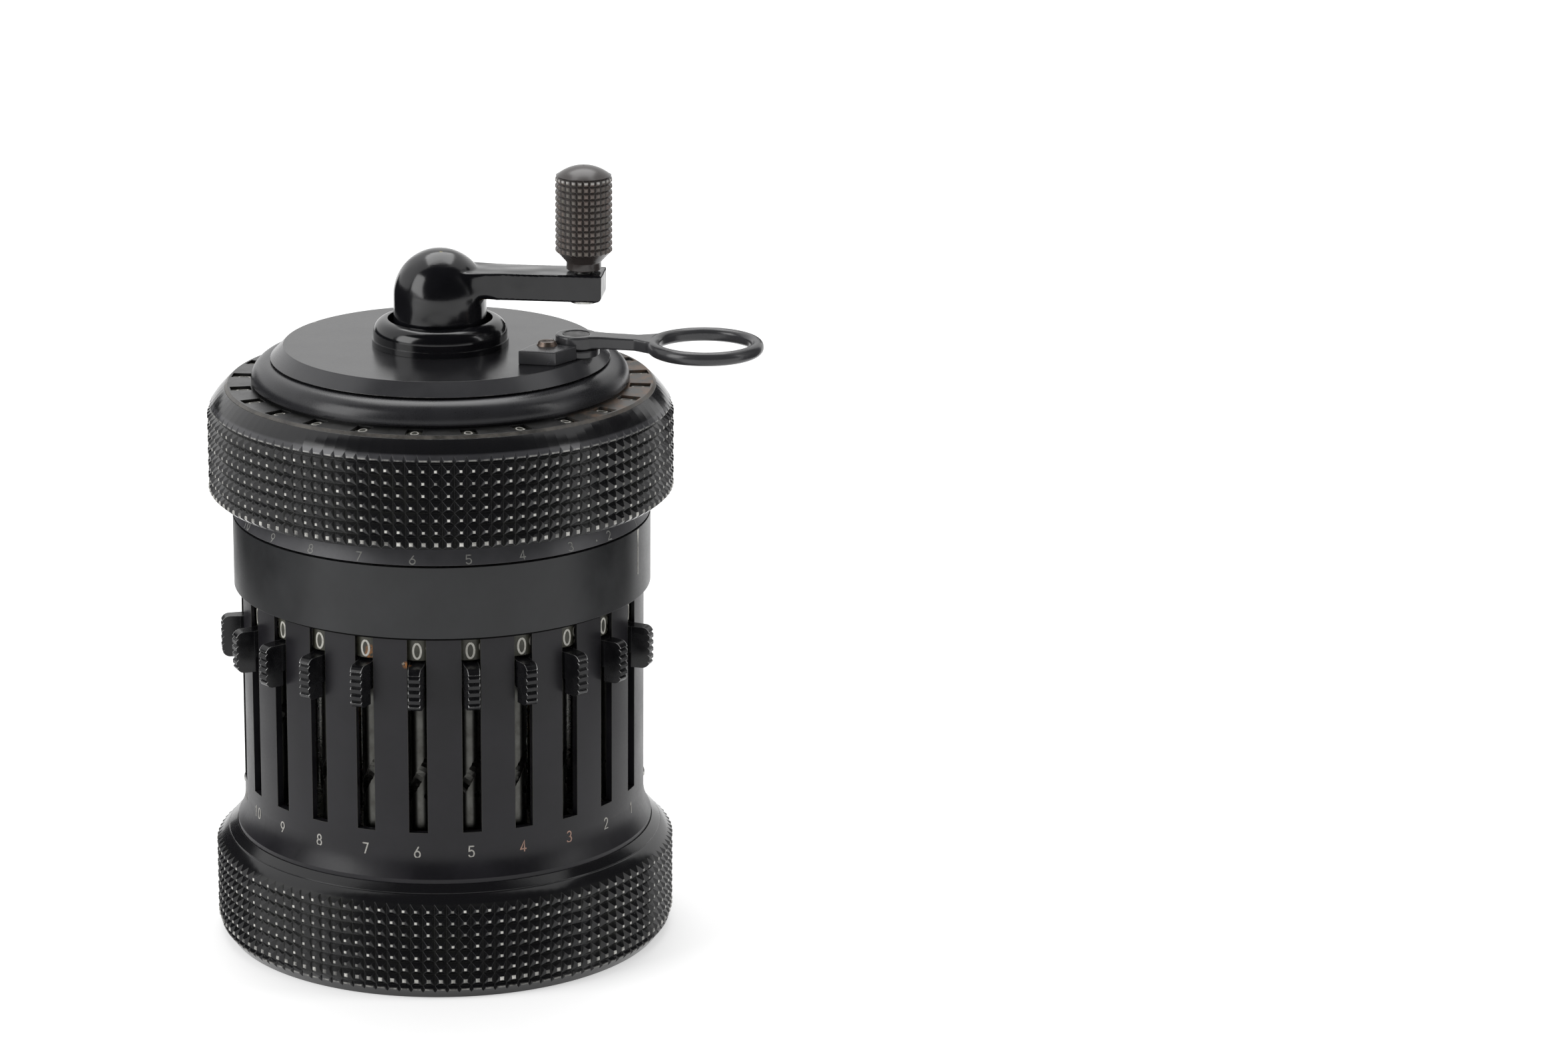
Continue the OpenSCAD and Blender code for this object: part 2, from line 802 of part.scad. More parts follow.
module dial_cover() {
    color(SATIN) difference() {
        rotate_extrude($fn = LARGE_FN) polygon([
            [cover_inner_r, cover_z], [carriage_bore_r, cover_z],
            [carriage_bore_r - cover_edge, cover_top], [cover_inner_r, cover_top]
        ]);
        for (a = dial_azimuths)
            at_azimuth(a) translate([-window_w / 2, -window_r - window_len, cover_z - past])
                cube([window_w, window_len, cover_t + 2 * past]);
    }
}

// A numeral dial with its axle and bevel gear, all on a level radial axis
module dial() {
    translate([0, 0, dial_axis_z]) rotate([90, 0, 0]) {
        translate([0, 0, dial_in_r]) cylinder(h = dial_len, r = dial_d / 2);
        translate([0, 0, dial_axle_in]) cylinder(h = carriage_bore_r - dial_axle_in, r = dial_axle_r);
        translate([0, 0, dial_axle_in]) cylinder(h = dial_gear_h, r1 = dial_gear_tip_r, r2 = dial_gear_r);
    }
}

module result_dials() {
    color(BLACK) for (a = result_azimuths) at_azimuth(a) dial();
}

module counter_dials() {
    color(BLACK) for (a = counter_azimuths) at_azimuth(a) dial();
}

module carriage_shafts() {
    bevel_z = carriage_shaft_z + carriage_shaft_h - carriage_bevel_h;
    color(STEEL) on_circle(dial_azimuths, carriage_shaft_circle_r) {
        translate([0, 0, carriage_shaft_z]) cylinder(h = carriage_shaft_h, r = carriage_shaft_r);
        translate([0, 0, carriage_shaft_z]) linear_extrude(carriage_gear_h)
            polygon(gear_outline(carriage_gear_r, carriage_gear_r - carriage_tooth_h, carriage_gear_teeth));
        translate([0, 0, bevel_z])
            cylinder(h = carriage_bevel_h, r1 = carriage_bevel_r, r2 = carriage_bevel_tip_r);
    }
}

// The spring that presses the carriage down, a wire swept round the column
module carriage_spring() {
    sides = spring_sides;
    steps = spring_turns * spring_steps_per_turn;
    rise = (spring_top - spring_z) / steps;
    points = [
        for (i = [0:steps], s = [0:sides - 1])
            let (
                turn = i * 360 / spring_steps_per_turn,
                r = spring_r + spring_wire_r * cos(s * 360 / sides),
                z = spring_z + i * rise + spring_wire_r * sin(s * 360 / sides)
            )
            [r * cos(turn), r * sin(turn), z]
    ];
    sides_faces = [
        for (i = [0:steps - 1], s = [0:sides - 1], half = [0, 1])
            let (
                a = i * sides + s,
                b = i * sides + (s + 1) % sides,
                c = b + sides,
                d = a + sides
            )
            half == 0 ? [a, b, c] : [a, c, d]
    ];
    last = steps * sides;
    ends = concat(
        [for (s = [1:sides - 2]) [0, s + 1, s]],
        [for (s = [1:sides - 2]) [last, last + s, last + s + 1]]
    );
    color(STEEL) polyhedron(points, concat(sides_faces, ends));
}

module top_flange() {
    edge = flange_top - flange_edge_r;
    edge_mid_r = flange_r - flange_edge_r;
    foot = cover_top + flange_step_h;
    inner = flange_step_r - lap;
    color(BLACK) rotate_extrude($fn = LARGE_FN) {
        translate([flange_bore_r, cover_top])
            square([edge_mid_r - flange_bore_r, flange_top - cover_top]);
        translate([flange_bore_r, cover_top])
            square([flange_step_r - flange_bore_r, edge - cover_top]);
        translate([inner, foot]) square([flange_r - inner, edge - foot]);
        intersection() {
            translate([edge_mid_r, edge]) circle(flange_edge_r, $fn = LARGE_FN);
            translate([edge_mid_r - past, foot]) square([flange_r, flange_top - foot]);
        }
    }
}

// Holes through the plate and the bracket for the screws of the lever
module lever_screw_holes(z) {
    translate([pivot.x, pivot.y, z - past]) cylinder(h = leaf_top - z + 2 * past, r = pivot_shank_r);
    translate([bracket_screw.x, bracket_screw.y, z - past])
        cylinder(h = bracket_top - z + 2 * past, r = bracket_screw_r);
}

module clearing_plate() {
    color(BLACK) difference() {
        rotate_extrude($fn = LARGE_FN) polygon([
            [plate_bore_r, plate_spigot_z], [plate_spigot_r, plate_spigot_z],
            [plate_spigot_r, plate_z], [plate_r + plate_slope, plate_z], [plate_r, plate_top],
            [plate_bore_r, plate_top]
        ]);
        lever_screw_holes(plate_z);
    }
}

module center_boss() {
    edge_z = boss_top - boss_edge_r;
    width = boss_r - plate_bore_r;
    color(BLACK) rotate_extrude($fn = LARGE_FN) {
        translate([plate_bore_r, plate_top]) square([width + boss_foot_w, boss_foot_h]);
        translate([plate_bore_r, plate_top]) square([width - boss_edge_r, boss_top - plate_top]);
        translate([plate_bore_r, plate_top]) square([width, edge_z - plate_top]);
        intersection() {
            translate([boss_r - boss_edge_r, edge_z]) circle(boss_edge_r, $fn = LARGE_FN);
            translate([plate_bore_r, edge_z - lap]) square([width, boss_edge_r + lap]);
        }
    }
}

// A block on the plate, with a thin leaf that reaches under the lever's eye
module lever_bracket() {
    color(BLACK) difference() {
        union() {
            translate([0, 0, plate_top]) linear_extrude(bracket_top - plate_top) polygon(bracket_outline);
            translate([pivot.x, pivot.y, plate_top]) cylinder(h = leaf_top - plate_top, r = eye_r + clear);
        }
        translate([pivot.x, pivot.y, leaf_top]) cylinder(h = 2 * past, r = eye_r + clear);
        lever_screw_holes(plate_top);
    }
}

module lever_screws() {
    head_z = eye_top - lap - pivot_head_h;
    color(STEEL) {
        translate([bracket_screw.x, bracket_screw.y, 0]) {
            translate([0, 0, plate_z]) cylinder(h = bracket_top - plate_z, r = bracket_screw_r);
            translate([0, 0, bracket_top]) difference() {
                cylinder(h = bracket_head_h, r1 = bracket_head_r, r2 = bracket_head_r - bracket_head_taper);
                translate([-bracket_head_r, -screwdriver_w / 2, bracket_head_h - screwdriver_depth])
                    cube([2 * bracket_head_r, screwdriver_w, past]);
            }
        }
        translate([pivot.x, pivot.y, 0]) {
            translate([0, 0, plate_z]) cylinder(h = leaf_top - plate_z, r = pivot_shank_r);
            translate([0, 0, leaf_top]) cylinder(h = head_z - leaf_top, r = pivot_r);
            translate([0, 0, head_z]) cylinder(h = pivot_head_h, r1 = pivot_r, r2 = pivot_head_r);
        }
    }
}

// An eye on the pivot screw, an arm, and the finger ring
module clearing_lever() {
    ring_mid_r = finger_ring_d / 2;
    wire_r = finger_wire_d / 2;
    near = lever_reach - ring_mid_r;
    head_z = eye_top - lap - pivot_head_h;
    color(BLACK) translate([pivot.x, pivot.y, 0]) rotate([0, 0, lever_angle]) difference() {
        union() {
            translate([0, 0, eye_z]) cylinder(h = eye_top - eye_z, r = eye_r);
            translate([0, 0, lever_z - lever_t / 2]) linear_extrude(lever_t) polygon([
                [1, -2.1], [3.8, -1.55], [near - 2.5, -1.45], [near + 0.4, -2.9],
                [near + 0.4, 2.9], [near - 2.5, 1.45], [3.8, 1.55], [1, 2.1]
            ]);
            translate([lever_reach, 0, lever_z]) rotate_extrude($fn = LARGE_FN)
                translate([ring_mid_r, 0]) circle(wire_r);
        }
        translate([lever_reach, 0, lever_z - lever_t])
            cylinder(h = 2 * lever_t, r = ring_mid_r - wire_r + lap);
        translate([0, 0, eye_z - past]) cylinder(h = eye_top - eye_z + 2 * past, r = pivot_r + running);
        translate([0, 0, head_z - running])
            cylinder(h = pivot_head_h, r1 = pivot_r + running, r2 = pivot_head_r + running);
        translate([0, 0, head_z - running + pivot_head_h])
            cylinder(h = past, r = pivot_head_r + running);
    }
}

// Side view of a knob, with rounded outer corners and notches between its ridges
module knob_side(bottom, top, ridges) {
    face = knob_face_r;
    corner = knob_corner_r;
    middle = (bottom + top) / 2;
    difference() {
        union() {
            translate([knob_gap_r, bottom]) square([face - corner - knob_gap_r, top - bottom]);
            translate([knob_gap_r, bottom + corner])
                square([face - knob_gap_r, top - bottom - 2 * corner]);
            for (z = [bottom + corner, top - corner]) translate([face - corner, z]) circle(corner);
        }
        for (k = [1:ridges - 1])
            translate([face, middle + (k - ridges / 2) * ridge_pitch])
                polygon([[-ridge_depth, 0], [lap, -ridge_gap], [lap, ridge_gap]]);
    }
}

// A knob tapers a little from its foot to its ridged face
module slider_knob(w, bottom, top, ridges) {
    intersection() {
        rotate([90, 0, -90]) translate([0, 0, -w / 2]) linear_extrude(w)
            knob_side(bottom, top, ridges);
        translate([0, 0, bottom]) linear_extrude(top - bottom) polygon([
            [-w / 2, -knob_gap_r], [w / 2, -knob_gap_r],
            [w / 2 - knob_taper, -knob_face_r], [knob_taper - w / 2, -knob_face_r]
        ]);
    }
}

// The block that joins a knob to the pieces behind the slot
module slider_neck(bottom, top, inner_r) {
    translate([-neck_w / 2, -knob_gap_r - lap, bottom])
        cube([neck_w, knob_gap_r + lap - inner_r, top - bottom]);
}

// A block that fits the tube's bore outside and goes round the setting shaft inside
module slider_carrier() {
    translate([0, 0, carrier_z]) linear_extrude(carrier_h) difference() {
        intersection() {
            circle(carrier_r, $fn = LARGE_FN);
            translate([-arm_side - arm_side_t, -carrier_r])
                square([arm_side + arm_side_t + neck_w / 2, carrier_r - carrier_in_r]);
        }
        translate([0, -setting_r]) circle(setting_shaft_r + clear);
    }
}

// Knob, neck, carrier with its pin in the helical groove, and the arm that shifts the gear
module slider(n) {
    color(BLACK) at_azimuth(slider_azimuth(n)) difference() {
        union() {
            slider_knob(slider_knob_w, knob_bottom, knob_top_z, slider_ridges);
            slider_neck(carrier_z, carrier_z + carrier_h, carrier_r - lap);
            slider_carrier();
            translate([-arm_side - arm_side_t, -carrier_in_r - lap, arm_z])
                cube([arm_side_t, carrier_in_r + lap - bridge_r, arm_h]);
            translate([-arm_side - arm_side_t, -bridge_r - bridge_w, arm_z])
                cube([arm_side + arm_side_t + bridge_w / 2, bridge_w, arm_h]);
            translate([-bridge_w / 2, -bridge_r - bridge_w / 2, arm_z])
                cube([bridge_w, bridge_r + bridge_w / 2 - transmission_r - 1.2, arm_h]);
            translate([-arm_side - lap, -setting_r, pin_z]) rotate([0, 90, 0])
                cylinder(h = arm_side + lap - setting_shaft_r + pin_reach, r = pin_r);
            translate([0, -transmission_r, arm_z]) cylinder(h = arm_h, r = gear_hub_r);
            translate([0, -transmission_r, pin_z - gear_t / 2]) pinion(gear_t);
        }
        translate([0, -transmission_r, arm_z - past])
            cylinder(h = arm_h + 2 * past, r = transmission_shaft_r + running);
    }
}

// The groove that a slider's pin follows, cut as a twisted bar
module helix_groove() {
    sweep = groove_h / groove_lead * 360;
    bottom = pin_z - slider_travel - groove_run_out;
    lowest_angle = 180 + (bottom - pin_z) / groove_lead * 360;
    translate([0, 0, bottom]) rotate([0, 0, lowest_angle])
        linear_extrude(groove_h, twist = -sweep, slices = 30, segments = 4)
            translate([setting_shaft_r - groove_depth, -groove_w / 2])
                square([groove_depth + 0.6, groove_w]);
}

module setting_shaft(n) {
    color(STEEL) at_azimuth(slider_azimuth(n)) translate([0, -setting_r, 0]) difference() {
        union() {
            translate([0, 0, setting_shaft_z])
                cylinder(h = digit_drum_z - setting_shaft_z, r = setting_shaft_r);
            translate([0, 0, digit_drum_z]) cylinder(h = digit_drum_h, r = digit_drum_d / 2);
            translate([0, 0, lower_plate_z + journal_end])
                cylinder(h = setting_shaft_z - lower_plate_z, r = journal_r);
            translate([0, 0, digit_drum_z])
                cylinder(h = upper_plate_top - journal_end - digit_drum_z, r = journal_r);
        }
        helix_groove();
        rotate([0, 0, shaft_hole_angle]) translate([0, shaft_hole_depth - setting_shaft_r, shaft_hole_z])
            rotate([90, 0, 0]) cylinder(h = shaft_hole_depth + past, r = shaft_hole_r);
    }
}

// The lever at the back that turns the counter's direction round
module reversing_lever() {
    neck_z = reverse_z + reverse_neck_edge;
    neck_top_z = reverse_top - reverse_neck_edge;
    color(BLACK) at_azimuth(rear_azimuth) {
        slider_knob(reverse_w, reverse_z, reverse_top, reverse_ridges);
        slider_neck(neck_z, neck_top_z, bore_r - clear - reverse_guide_t);
        translate([-reverse_guide_w / 2, clear - bore_r, neck_z])
            cube([reverse_guide_w, reverse_guide_t, neck_top_z - neck_z]);
    }
}

base_ring();
base_plate();
base_screws();
body_tube();
tube_screws();
upper_collar();
lower_plate();
upper_plate();
frame_pillars();
lower_bush();
center_column();
column_nut();
transmission_shafts();
counter_shafts();
carry_pins();
lift_sleeve();
main_shaft();
stepped_drum();
crank();
crank_pin();
knob_axle();
crank_knob();
carriage_sleeve();
carriage_ring();
number_band();
carriage_frame();
dial_cover();
result_dials();
counter_dials();
carriage_shafts();
carriage_spring();
top_flange();
clearing_plate();
center_boss();
lever_bracket();
lever_screws();
clearing_lever();
reversing_lever();
for (n = [1:slider_count]) slider(n);
for (n = [1:slider_count]) setting_shaft(n);
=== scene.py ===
"""Looks of the cylindrical calculator: materials, knurling, numerals, softened castings,
and a plain studio. Lengths of the machine are given in millimetres and scaled to metres.
Those of the studio are in metres. An azimuth runs from -Y towards +X, in degrees."""

import math

import bpy
import numpy as np
from mathutils import Matrix, Vector


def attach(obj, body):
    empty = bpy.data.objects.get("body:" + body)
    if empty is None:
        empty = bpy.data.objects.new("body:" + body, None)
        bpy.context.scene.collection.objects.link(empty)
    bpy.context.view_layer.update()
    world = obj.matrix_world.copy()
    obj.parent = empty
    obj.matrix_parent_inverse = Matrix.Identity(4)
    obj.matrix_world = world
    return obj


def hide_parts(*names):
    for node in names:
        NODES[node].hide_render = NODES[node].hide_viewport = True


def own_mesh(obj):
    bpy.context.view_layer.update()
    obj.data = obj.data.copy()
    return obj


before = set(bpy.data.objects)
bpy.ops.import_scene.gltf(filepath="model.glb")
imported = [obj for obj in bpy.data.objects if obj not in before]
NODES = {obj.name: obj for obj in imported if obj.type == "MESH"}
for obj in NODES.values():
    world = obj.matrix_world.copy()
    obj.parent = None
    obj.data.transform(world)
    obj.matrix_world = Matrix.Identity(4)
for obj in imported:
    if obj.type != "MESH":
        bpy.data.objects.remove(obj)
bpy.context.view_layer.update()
MM = 0.001

# Sizes of the machine

SLIDERS = 11
SLOT_PITCH = 15.0
FIRST_AZIMUTH = 67.5
DIGIT_STEP = 36.0
SETTING_R = 24.75
DRUM_R = 3.0
DRUM_FOOT_Z = 47.75
RING_R = 32.5
KNURL_DEPTH = 0.8
KNURL_FLOOR_R = RING_R - KNURL_DEPTH
KNURL_COLUMNS = 120
KNURL_FLAT = 0.17
TUBE_R = 28.3
COLLAR_R = 29.25
COVER_RIM_R = 29.5
CRANK_ANGLE = math.radians(-8.9)
CRANK_REACH = 20.1
CRANK_END = (CRANK_REACH * math.cos(CRANK_ANGLE), CRANK_REACH * math.sin(CRANK_ANGLE))
KNOB_R = 3.92
KNOB_TOP_Z = 110.9
STUDS_Z = (98.7, 109.4)
COUNTER_DIALS = 8
RESULT_DIALS = 15
DIAL_R = 2.7
DIAL_AXIS_Z = 76.85
DIAL_FACE_R = 28.45
LEVER_PIVOT = (18.7, -7.0, 87.2)
SHARP_DEG = 30.0

# Colours of single marks: rust, and pale colours painted as glints

RUST = (0.30, 0.12, 0.03)
PLATE_GLINT_COLOUR = (0.4, 0.4, 0.38)
ROOT_GLINT_COLOUR = (0.45, 0.44, 0.40)


# Node helpers

class Tree:
    """Adds nodes to a node tree."""

    def __init__(self, tree):
        self.tree = tree

    def node(self, kind, inputs=None, **settings):
        made = self.tree.nodes.new("ShaderNode" + kind)
        for key, value in settings.items():
            setattr(made, key, value)
        for key, value in (inputs or {}).items():
            self.feed(made.inputs[key], value)
        return made

    def feed(self, socket, value):
        if isinstance(value, bpy.types.NodeSocket):
            self.tree.links.new(value, socket)
        else:
            socket.default_value = value

    def maths(self, operation, a, b):
        return self.node("Math", {0: a, 1: b}, operation=operation).outputs[0]

    def times(self, first, *others):
        """The product of two or more values."""
        for other in others:
            first = self.maths("MULTIPLY", first, other)
        return first

    def span(self, value, low, high, to_low=0.0, to_high=1.0):
        """Carries a range of the value to another range, and holds it at the ends."""
        return self.node("MapRange", {
            "Value": value, "From Min": low, "From Max": high,
            "To Min": to_low, "To Max": to_high}).outputs["Result"]

    def seen(self):
        """1 for rays from the camera, off a gloss or through glass, and 0 for diffuse light."""
        path = self.node("LightPath").outputs
        direct = self.maths("MAXIMUM", path["Is Camera Ray"], path["Is Glossy Ray"])
        return self.maths("MAXIMUM", direct, path["Is Transmission Ray"])


class Net(Tree):
    """Adds nodes to a new material. Coordinates are the object's own, in metres."""

    def __init__(self, name):
        self.material = bpy.data.materials.new(name)
        self.material.use_nodes = True
        super().__init__(self.material.node_tree)
        self.shader = self.tree.nodes["Principled BSDF"]
        self.coords = self.node("TexCoord").outputs["Object"]

    def set(self, key, value):
        self.feed(self.shader.inputs[key], value)

    def noise(self, size_mm, detail=2.0, vector=None, roughness=0.5):
        made = self.node("TexNoise", {
            "Vector": self.coords if vector is None else vector,
            "Scale": 1.0 / (size_mm * MM), "Detail": detail, "Roughness": roughness})
        return made.outputs["Fac"]

    def blend(self, share, a, b):
        made = self.node("Mix", data_type="RGBA")
        self.feed(made.inputs[0], share)
        self.feed(made.inputs[6], a if isinstance(a, bpy.types.NodeSocket) else (*a, 1.0))
        self.feed(made.inputs[7], b if isinstance(b, bpy.types.NodeSocket) else (*b, 1.0))
        return made.outputs[2]

    def mix_value(self, share, a, b):
        made = self.node("Mix", data_type="FLOAT")
        self.feed(made.inputs[0], share)
        self.feed(made.inputs[2], a)
        self.feed(made.inputs[3], b)
        return made.outputs[0]

    def split(self, vector=None):
        return self.node("SeparateXYZ", {0: self.coords if vector is None else vector}).outputs

    def height(self):
        return self.split()[2]

    def radius(self, centre=(0.0, 0.0)):
        """Distance from an upright axis, in metres."""
        x, y = self.split()[:2]
        dx = self.maths("SUBTRACT", x, centre[0] * MM)
        dy = self.maths("SUBTRACT", y, centre[1] * MM)
        squares = self.maths("ADD", self.maths("POWER", dx, 2.0), self.maths("POWER", dy, 2.0))
        return self.maths("SQRT", squares, 0.0)

    def turned(self, size_mm):
        """Fine lines that run round the main axis."""
        vector = self.node("CombineXYZ", {0: self.radius(), 1: self.height()}).outputs[0]
        return self.noise(size_mm, 3.0, vector, 0.6)

    def within(self, value, low_mm, high_mm, soft_mm):
        """1 between two lengths, fading to 0 over the soft width outside them."""
        return self.times(self.span(value, (low_mm - soft_mm) * MM, low_mm * MM),
                          self.span(value, (high_mm + soft_mm) * MM, high_mm * MM))

    def spot(self, centre_mm, radius_mm):
        """1 near a point, fading to 0 at a distance."""
        away = self.node("VectorMath", {0: self.coords, 1: tuple(c * MM for c in centre_mm)},
                         operation="DISTANCE").outputs["Value"]
        return self.span(away, radius_mm * MM, radius_mm * 0.4 * MM)

    def chip(self, centre_mm, radius_mm):
        """An uneven small mark near a point."""
        return self.times(self.spot(centre_mm, radius_mm),
                          self.span(self.noise(radius_mm * 0.7, 3.0, roughness=0.7), 0.40, 0.55))

    def marked(self, base, marks):
        """The base colour with single marks on it, each a point, a radius and a colour."""
        for place, radius, shade in marks:
            base = self.blend(self.chip(place, radius), base, shade)
        return base

    def edges(self, distance_mm):
        """1 on outward edges, 0 on flat places."""
        made = self.node("AmbientOcclusion", {"Distance": distance_mm * MM},
                         inside=True, only_local=True, samples=8)
        return self.maths("SUBTRACT", 1.0, made.outputs["AO"])

    def bump(self, height, strength, depth_mm, normal=None):
        inputs = {"Strength": strength, "Distance": depth_mm * MM, "Height": height}
        if normal is not None:
            inputs["Normal"] = normal
        return self.node("Bump", inputs).outputs[0]

    def rounded(self, radius_mm):
        return self.node("Bevel", {"Radius": radius_mm * MM}, samples=6).outputs[0]


# Materials

def enamel(name, colour, rough, turned=0.0, wear=0.4, edge_mm=0.12, worn=(0.30, 0.29, 0.27),
           gate=(0.48, 0.68), level=0.5, marks=(), grey=None, wavy_mm=0.0):
    """Stoved black paint: uneven sheen, a fine grain, worn edges, and single stains and spots,
    some of them pale spots painted as glints. Turned is the strength of fine lines round the
    axis. Gate is the range of a noise that lets the wear through. Grey is a height range, an
    inner radius and a lighter colour painted there as a highlight. Wavy is the depth of slow
    waves."""
    net = Net(name)
    cloud = net.noise(6.0, 3.0)
    fine = net.noise(0.35, 4.0, roughness=0.7)
    lighter = tuple(c * 1.6 + 0.001 for c in colour)
    base = net.blend(net.span(cloud, 0.35, 0.75), colour, lighter)
    # Grey band: a lighter colour painted on a rim as its highlight.
    if grey:
        low, high, inner, shade = grey
        band = net.times(net.within(net.height(), low, high, 0.3),
                         net.span(net.radius(), inner * MM, (inner + 0.15) * MM),
                         net.span(cloud, 0.3, 0.7, 0.7, 1.0))
        base = net.blend(band, base, shade)
    rubbed = net.times(net.span(net.edges(edge_mm), 0.30, 0.62),
                       net.span(net.noise(1.3, 4.0, roughness=0.75), *gate), wear)
    base = net.blend(rubbed, base, worn)
    net.set("Base Color", net.marked(base, marks))
    sheen = net.span(net.maths("ADD", cloud, fine), 0.7, 1.3, rough * 0.85, rough * 1.15)
    net.set("Roughness", net.mix_value(rubbed, sheen, 0.45))
    net.set("Specular IOR Level", level)
    normal = net.bump(fine, 0.2, 0.010, net.rounded(0.08))
    if wavy_mm:
        normal = net.bump(net.noise(5.0, 1.0), 1.0, wavy_mm, normal)
    if turned:
        normal = net.bump(net.turned(0.16), turned, 0.004, normal)
    net.set("Normal", normal)
    return net.material


def knurl_enamel(name, low, high, highlight_edge_z, heavy_z, grey=None):
    """Black knurling: rubbed tips of uneven brightness, a pale line painted along an edge as its
    highlight, and dust in the grooves. Low and high bound the rows, the edge's height sets where
    that painted highlight runs, wear is heavier below heavy_z, and grey is the height range of a
    greyed band on the outside."""
    net = Net(name)
    r, z = net.radius(), net.height()
    patch = net.noise(5.0, 3.0)
    each_tip = net.noise(1.6, 1.0, roughness=0.3)
    speck = net.noise(0.5, 3.0, roughness=0.8)
    reach = net.maths("ADD", r, net.times(net.maths("SUBTRACT", speck, 0.5), 0.10 * MM))
    heavy = net.span(z, (heavy_z + 0.15) * MM, heavy_z * MM, 0.0, 0.10 * MM)
    tips = net.times(
        net.span(net.maths("ADD", reach, heavy), (RING_R - 0.07) * MM, (RING_R - 0.02) * MM),
        net.within(z, low, high, 0.1), net.span(each_tip, 0.36, 0.66, 0.22, 1.0))
    # Painted highlight: a pale line along the edge, joined to the rubbed tips.
    edge = net.times(net.within(z, highlight_edge_z - 0.12, highlight_edge_z + 0.12, 0.1),
                     net.span(reach, 31.98 * MM, 32.10 * MM),
                     net.span(net.noise(1.4, 3.0, roughness=0.7), 0.38, 0.6, 0.1, 0.5))
    tips = net.maths("MAXIMUM", tips, edge)
    dust = net.times(net.span(r, (KNURL_FLOOR_R + 0.45) * MM, KNURL_FLOOR_R * MM),
                     net.span(patch, 0.40, 0.72, 0.05, 0.55), net.within(z, low, high, 0.2))
    base = net.blend(dust, (0.008, 0.008, 0.009), (0.026, 0.027, 0.022))
    if grey:
        band = net.times(net.within(z, *grey, 0.25), net.span(patch, 0.3, 0.6, 0.6, 1.0),
                         net.span(r, 31.0 * MM, 31.3 * MM))
        base = net.blend(band, base, (0.050, 0.050, 0.054))
    net.set("Base Color", net.blend(tips, base, (0.66, 0.65, 0.61)))
    net.set("Roughness", net.mix_value(tips, net.span(patch, 0.3, 0.7, 0.13, 0.21), 0.45))
    net.set("Metallic", net.times(tips, 0.2))
    net.set("Normal", net.bump(net.noise(0.4, 3.0), 0.2, 0.012, net.rounded(0.06)))
    return net.material


def metal(name, colour, rough, patina):
    """Turned bare metal with a thin uneven patina."""
    net = Net(name)
    stain = net.span(net.noise(3.0, 4.0, roughness=0.65), 0.4, 0.72, 0.0, 0.5)
    net.set("Base Color", net.blend(stain, colour, patina))
    net.set("Metallic", 1.0)
    net.set("Roughness", net.span(net.noise(0.8, 3.0), 0.3, 0.7, rough * 0.8, rough * 1.3))
    net.set("Normal", net.bump(net.noise(0.15, 2.0), 0.3, 0.004, net.rounded(0.05)))
    return net.material


def cover_material():
    """Dark cover of the dials with brown patina on its right side, and a pale line painted along
    its polished outer edge as its highlight.
    """
    net = Net("cover")
    x = net.split()[0]
    blot = net.noise(2.2, 4.0, roughness=0.7)
    side = net.span(x, 16 * MM, 24 * MM)
    brown = net.times(side, net.span(blot, 0.44, 0.62))
    cloud = net.span(net.noise(4.0, 3.0), 0.3, 0.7)
    base = net.blend(cloud, (0.006, 0.006, 0.007), (0.012, 0.012, 0.011))
    base = net.blend(net.times(side, 0.7), base, (0.105, 0.100, 0.092))
    base = net.blend(net.times(brown, 0.5), base, (0.24, 0.13, 0.07))
    # Painted highlight: a pale line along the polished outer edge.
    painted_rim_highlight = net.times(net.span(net.radius(), COVER_RIM_R * MM, (COVER_RIM_R + 0.2) * MM),
                    net.span(blot, 0.35, 0.6, 0.25, 0.9))
    net.set("Base Color", net.blend(painted_rim_highlight, base, (0.085, 0.078, 0.068)))
    net.set("Roughness", net.span(blot, 0.3, 0.7, 0.26, 0.4))
    net.set("Normal", net.bump(net.turned(0.14), 0.2, 0.005, net.rounded(0.06)))
    return net.material


def dial_material():
    """Olive-black drums behind the windows."""
    net = Net("dial_black")
    mottle = net.noise(0.9, 4.0, roughness=0.7)
    patches = net.span(mottle, 0.35, 0.7)
    net.set("Base Color", net.blend(patches, (0.016, 0.016, 0.012), (0.042, 0.041, 0.030)))
    net.set("Roughness", net.span(mottle, 0.3, 0.7, 0.45, 0.6))
    net.set("Normal", net.bump(mottle, 0.2, 0.008, net.rounded(0.05)))
    return net.material


def shaft_material():
    """Dull oiled steel of a setting shaft, whose numbered drum is painted olive."""
    net = Net("setting_steel")
    mottle = net.noise(1.6, 3.0, roughness=0.6)
    painted = net.within(net.height(), 47.6, 51.7, 0.05)
    steel = net.blend(net.span(mottle, 0.35, 0.75), (0.086, 0.086, 0.080), (0.056, 0.055, 0.050))
    paint = net.blend(net.span(mottle, 0.35, 0.7), (0.030, 0.030, 0.021), (0.062, 0.061, 0.044))
    net.set("Base Color", net.marked(net.blend(painted, steel, paint), (
        ((-10.1, -25.9, 48.0), 0.9, RUST), ((-10.0, -25.8, 48.9), 0.7, RUST),
        ((12.3, -24.9, 48.0), 0.6, RUST))))
    net.set("Metallic", net.maths("SUBTRACT", 1.0, painted))
    net.set("Roughness", net.mix_value(painted, net.span(mottle, 0.3, 0.7, 0.30, 0.38), 0.5))
    net.set("Normal", net.rounded(0.04))
    return net.material


